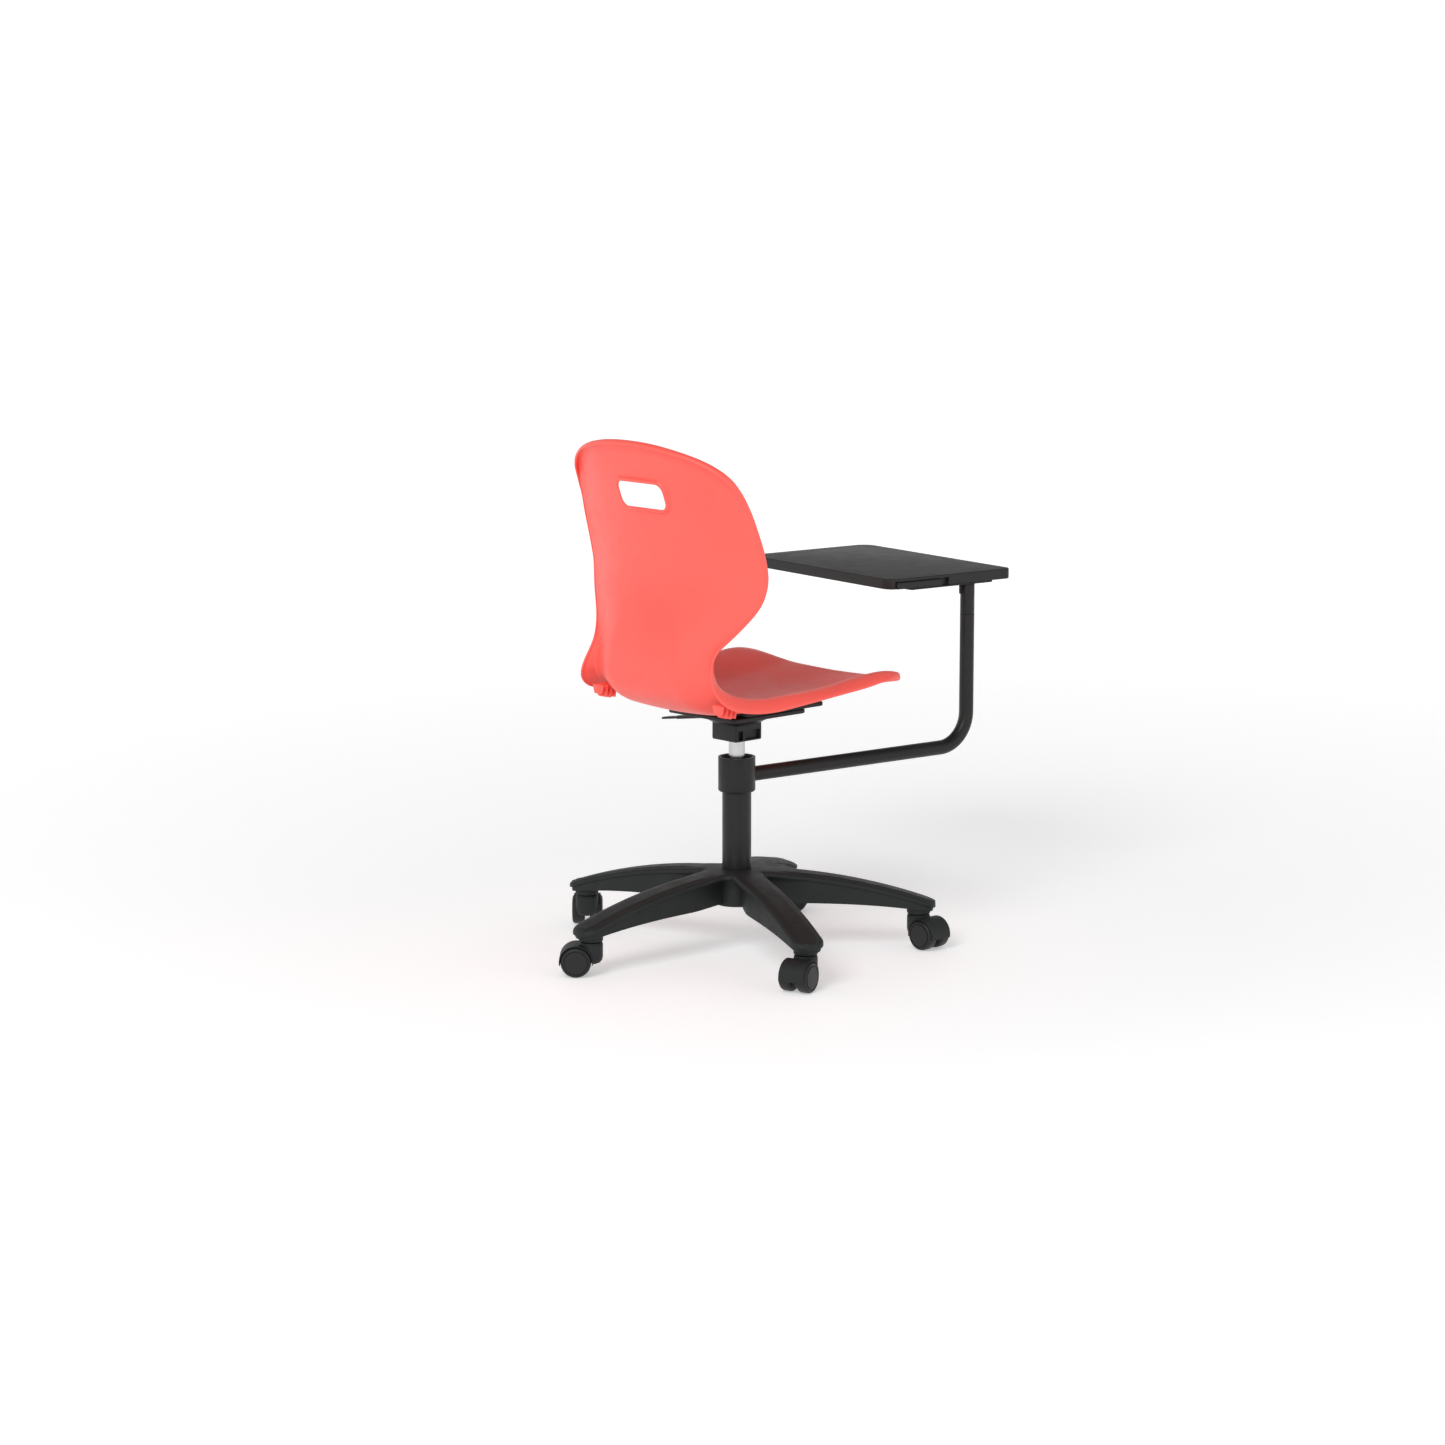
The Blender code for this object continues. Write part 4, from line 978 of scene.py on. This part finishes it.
bowl_profile = [(0, BOWL_FLOOR), (BOWL_LOW - 5, BOWL_FLOOR), (BOWL_HIGH - 4, BOWL_TOP), (BOWL_HIGH, BOWL_TOP),
                (BOWL_HIGH, BOWL_TOP - 3.0)]
for step in range(7):
    share = step / 6
    fall = (SOCKET_HIGH - BOWL_TOP + BOWL_LIP) * (0.55 * share + 0.45 * share ** 2)
    bowl_profile.append((BOWL_HIGH + (BOWL_LOW - BOWL_HIGH) * share, BOWL_TOP - BOWL_LIP + fall))
housing = to_object("housing_pressed", soften(turned(bowl_profile + [(0, SOCKET_HIGH)], 96), 0.7, 2, 25))
socket = soften(block((SOCKET, SOCKET, 31), (0, 0, SOCKET_LOW + 15.5)), 3.0, 4)
combine(housing, socket, "UNION")
for wide, y in ((34, -8.5), (11, 19.5)):
    for side in (-1, 1):
        combine(housing, soften(block((9, wide, 16), (side * (SOCKET / 2 - 3), y, 378)), 1.2, 2))
taper = turned([(0, 416), (11.8, 416), (11.8, 400), (CYLINDER_R + 0.3, 366), (CYLINDER_R + 0.3, 350), (0, 350)], 96)
combine(housing, taper)
combine(housing, block((40, 19, 14.5), (62, 0, PIVOT_Z - 3.2)))
for side in (-1, 1):
    combine(housing, soften(block((9, 4, 18), (PIVOT_X, side * 12.5, PIVOT_Z - 4)), 0.8, 1), "UNION")
bore = move(turned([(0, -16), (2.3, -16), (2.3, 16), (0, 16)], 24), by=(PIVOT_X, 0, PIVOT_Z), turn=-90, axis="X")
combine(housing, bore)
make_piece("housing_pressed", housing, powder_coat, "seat", ["mechanism_housing"])

# %% [markdown]
# The lever is a bent steel strip with a flat blade for the fingers. Its short inner finger stands over the lift's
# button.

# %% Bend the lever
def lever_shape():
    lever = to_object("lever_strip", soften(block((36, 9, 3.0), (-15, 0, 2.6)), 0.5, 2))
    tilt = degrees(atan2(0.15, 1.0))  # the blade falls 15 mm in 100
    for start, end, width, thick in ((-4, 120, 12, 6.0), (40, 156, 20, 3.6)):
        strip = rounded_plate((end - start, width, thick), ((start + end) / 2, 0, 0), width * 0.3, 0.9, 5)
        combine(lever, move(strip, turn=tilt, axis="Y"), "UNION")
    combine(lever, move(turned([(0, -12), (2.1, -12), (2.1, 12), (0, 12)], 24), turn=-90, axis="X"))
    lever.data.transform(Matrix.Translation(Vector((PIVOT_X, 0, PIVOT_Z)) * MM))
    return lever


make_piece("lever_strip", lever_shape(), powder_coat, "lever", ["lift_lever"])
pin = soften(turned([(0, -14), (2.0, -14), (2.0, 14), (0, 14)], 24), 0.3)
make_piece("lever_pin_turned", move(pin, by=(PIVOT_X, 0, PIVOT_Z), turn=-90, axis="X"), zinc, "seat",
           ["lever_pin"])

# %% [markdown]
# ## Screws
# Eight screws show their heads from below. A pan head is turned, and a cross recess is cut into it with two thin
# crossed blocks.

# %% Turn the screws
def screw(name, shank, tip, head_top, head_radius, head_height):
    low = head_top - head_height
    made = to_object(name, turned([(0, tip), (shank - 0.5, tip), (shank, tip - 0.8), (shank, head_top),
                                   (head_radius, head_top), (head_radius, head_top - head_height * 0.35),
                                   (head_radius * 0.72, low + 0.2), (head_radius * 0.5, low), (0, low)], 36))
    for turn in (0, 90):
        arm_of_cross = block((head_radius * 0.95, head_radius * 0.24, head_height * 0.9), (0, 0, low))
        combine(made, move(arm_of_cross, turn=turn))
    return made


for number, (x, y) in enumerate(SEAT_SCREWS, 1):
    made = screw(f"seat_screw_{number}_pan", 3.0, 432.0, 412.5, 6.0, 3.5)
    made.data.transform(Matrix.Translation(Vector((x, y, 0)) * MM))
    make_piece(made.name, made, zinc, "seat", [f"seat_screw_{number}"])
for number, (x, y) in enumerate(TABLET_SCREWS, 1):
    made = screw(f"tablet_screw_{number}_pan", 2.0, TABLET_TOP - 7, PLATE_TOP - 3.3, 4.2, 2.4)
    spot = Vector((x, y, 0))
    spot.rotate(Matrix.Rotation(radians(TABLET_TURN), 3, "Z"))
    made.data.transform(Matrix.Translation((spot + POST) * MM))
    make_piece(made.name, made, zinc, "tablet", [f"tablet_screw_{number}"])

# %% [markdown]
# ## Pieces that keep their modelled shape
# The bushes, bearing, rings and rod work inside the column or show only as thin rings, so their shapes are right
# as they are. They only need their finishes.

# %% Finish the inner pieces
kept = {"guide_bush": nylon, "collar_bush": nylon, "post_bush": nylon, "bump_stop": rubber, "piston_rod": zinc,
        "thrust_bearing": zinc, "collar_stop_ring": zinc, "retaining_clip": zinc, "release_button": zinc}
for name, finish in kept.items():
    node = frame["nodes"][name]
    node.data.materials.clear()
    node.data.materials.append(finish)
print("finished:", ", ".join(kept))

# %% [markdown]
# ## Floor, light and camera
# A wide pale floor runs out behind the chair and glows a little, more with distance. The sky is white at the
# horizon, so floor and sky meet without a line, and it fades overhead, so black parts stay black. One large soft
# light hangs high behind the camera's left shoulder: the back of the shell is bright and its seat lies in shade.

# %% Lay the floor and hang the lights
def area_light(name, place, aim, size, power):
    lamp = bpy.data.lights.new(name, "AREA")
    lamp.shape, lamp.size, lamp.energy = "DISK", size, power
    made = bpy.data.objects.new(name, lamp)
    made.location = place
    made.rotation_euler = (Vector(aim) - Vector(place)).to_track_quat("-Z", "Y").to_euler()
    bpy.context.scene.collection.objects.link(made)


GLOW_NEAR, GLOW_FAR, NEAR, FAR = 0.36, 0.68, 0.8, 5.0
floor_shape = bmesh.new()
bmesh.ops.create_grid(floor_shape, x_segments=1, y_segments=1, size=60.0)
floor_mesh = bpy.data.meshes.new("floor")
floor_shape.to_mesh(floor_mesh)
floor_shape.free()
floor = bpy.data.objects.new("floor", floor_mesh)
floor.location.z = -0.0004
bpy.context.scene.collection.objects.link(floor)
floor_paint = grained("pale floor", (0.85, 0.85, 0.85), 0.005, (0.6, 0.7), 2.0, 0.02, specular=0.1)
paint_nodes = floor_paint.node_tree
distance = paint_nodes.nodes.new("ShaderNodeVectorMath")
distance.operation = "LENGTH"
link(paint_nodes, paint_nodes.nodes.new("ShaderNodeTexCoord"), "Object", distance, "Vector")
glow = ranged(paint_nodes, distance, "Value", NEAR, FAR, GLOW_NEAR, GLOW_FAR)
link(paint_nodes, glow, "Result", paint_nodes.nodes["Principled BSDF"], "Emission Strength")
paint_nodes.nodes["Principled BSDF"].inputs["Emission Color"].default_value = (1.0, 1.0, 1.0, 1.0)
floor_mesh.materials.append(floor_paint)

# %% Set the sky and the camera
SKY_OVERHEAD, FADE_START, FADE_END = 0.27, 0.14, 0.75
sky = bpy.data.worlds.new("sky")
bpy.context.scene.world = sky
sky.use_nodes = True
sky_tree = sky.node_tree
height = sky_tree.nodes.new("ShaderNodeSeparateXYZ")
link(sky_tree, sky_tree.nodes.new("ShaderNodeTexCoord"), "Generated", height, "Vector")
fade = ranged(sky_tree, height, "Z", FADE_START, FADE_END, 1.0, SKY_OVERHEAD)
link(sky_tree, fade, "Result", sky_tree.nodes["Background"], "Strength")
sky_tree.nodes["Background"].inputs["Color"].default_value = (1.0, 1.0, 1.0, 1.0)

BEARING, DROP, DISTANCE, AIM_ALONG, AIM_HEIGHT = 43.0, 9.846, 6.7422, -0.0245, 0.3954
right = Vector((-sin(radians(BEARING)), -cos(radians(BEARING)), 0))
level = Vector((cos(radians(BEARING)), -sin(radians(BEARING)), 0))
look = level * cos(radians(DROP)) - Vector((0, 0, 1)) * sin(radians(DROP))
aim = COLUMN + right * AIM_ALONG + Vector((0, 0, AIM_HEIGHT))
lens = bpy.data.cameras.new("camera")
lens.lens, lens.sensor_width, lens.clip_end = 98.193, 36.0, 200.0
camera = bpy.data.objects.new("camera", lens)
camera.location = aim - look * DISTANCE
camera.rotation_euler = look.to_track_quat("-Z", "Y").to_euler()
bpy.context.scene.collection.objects.link(camera)
bpy.context.scene.camera = camera
area_light("key", aim - level * 5.0 - right * 2.2 + Vector((0, 0, 4.4)), aim, 3.5, 215.0)
area_light("fill", aim - look * 2.0 + right * 3.2 + Vector((0, 0, 0.6)), aim, 2.0, 8.0)
bpy.context.scene.view_settings.view_transform = "Standard"
print("camera at", camera.location)
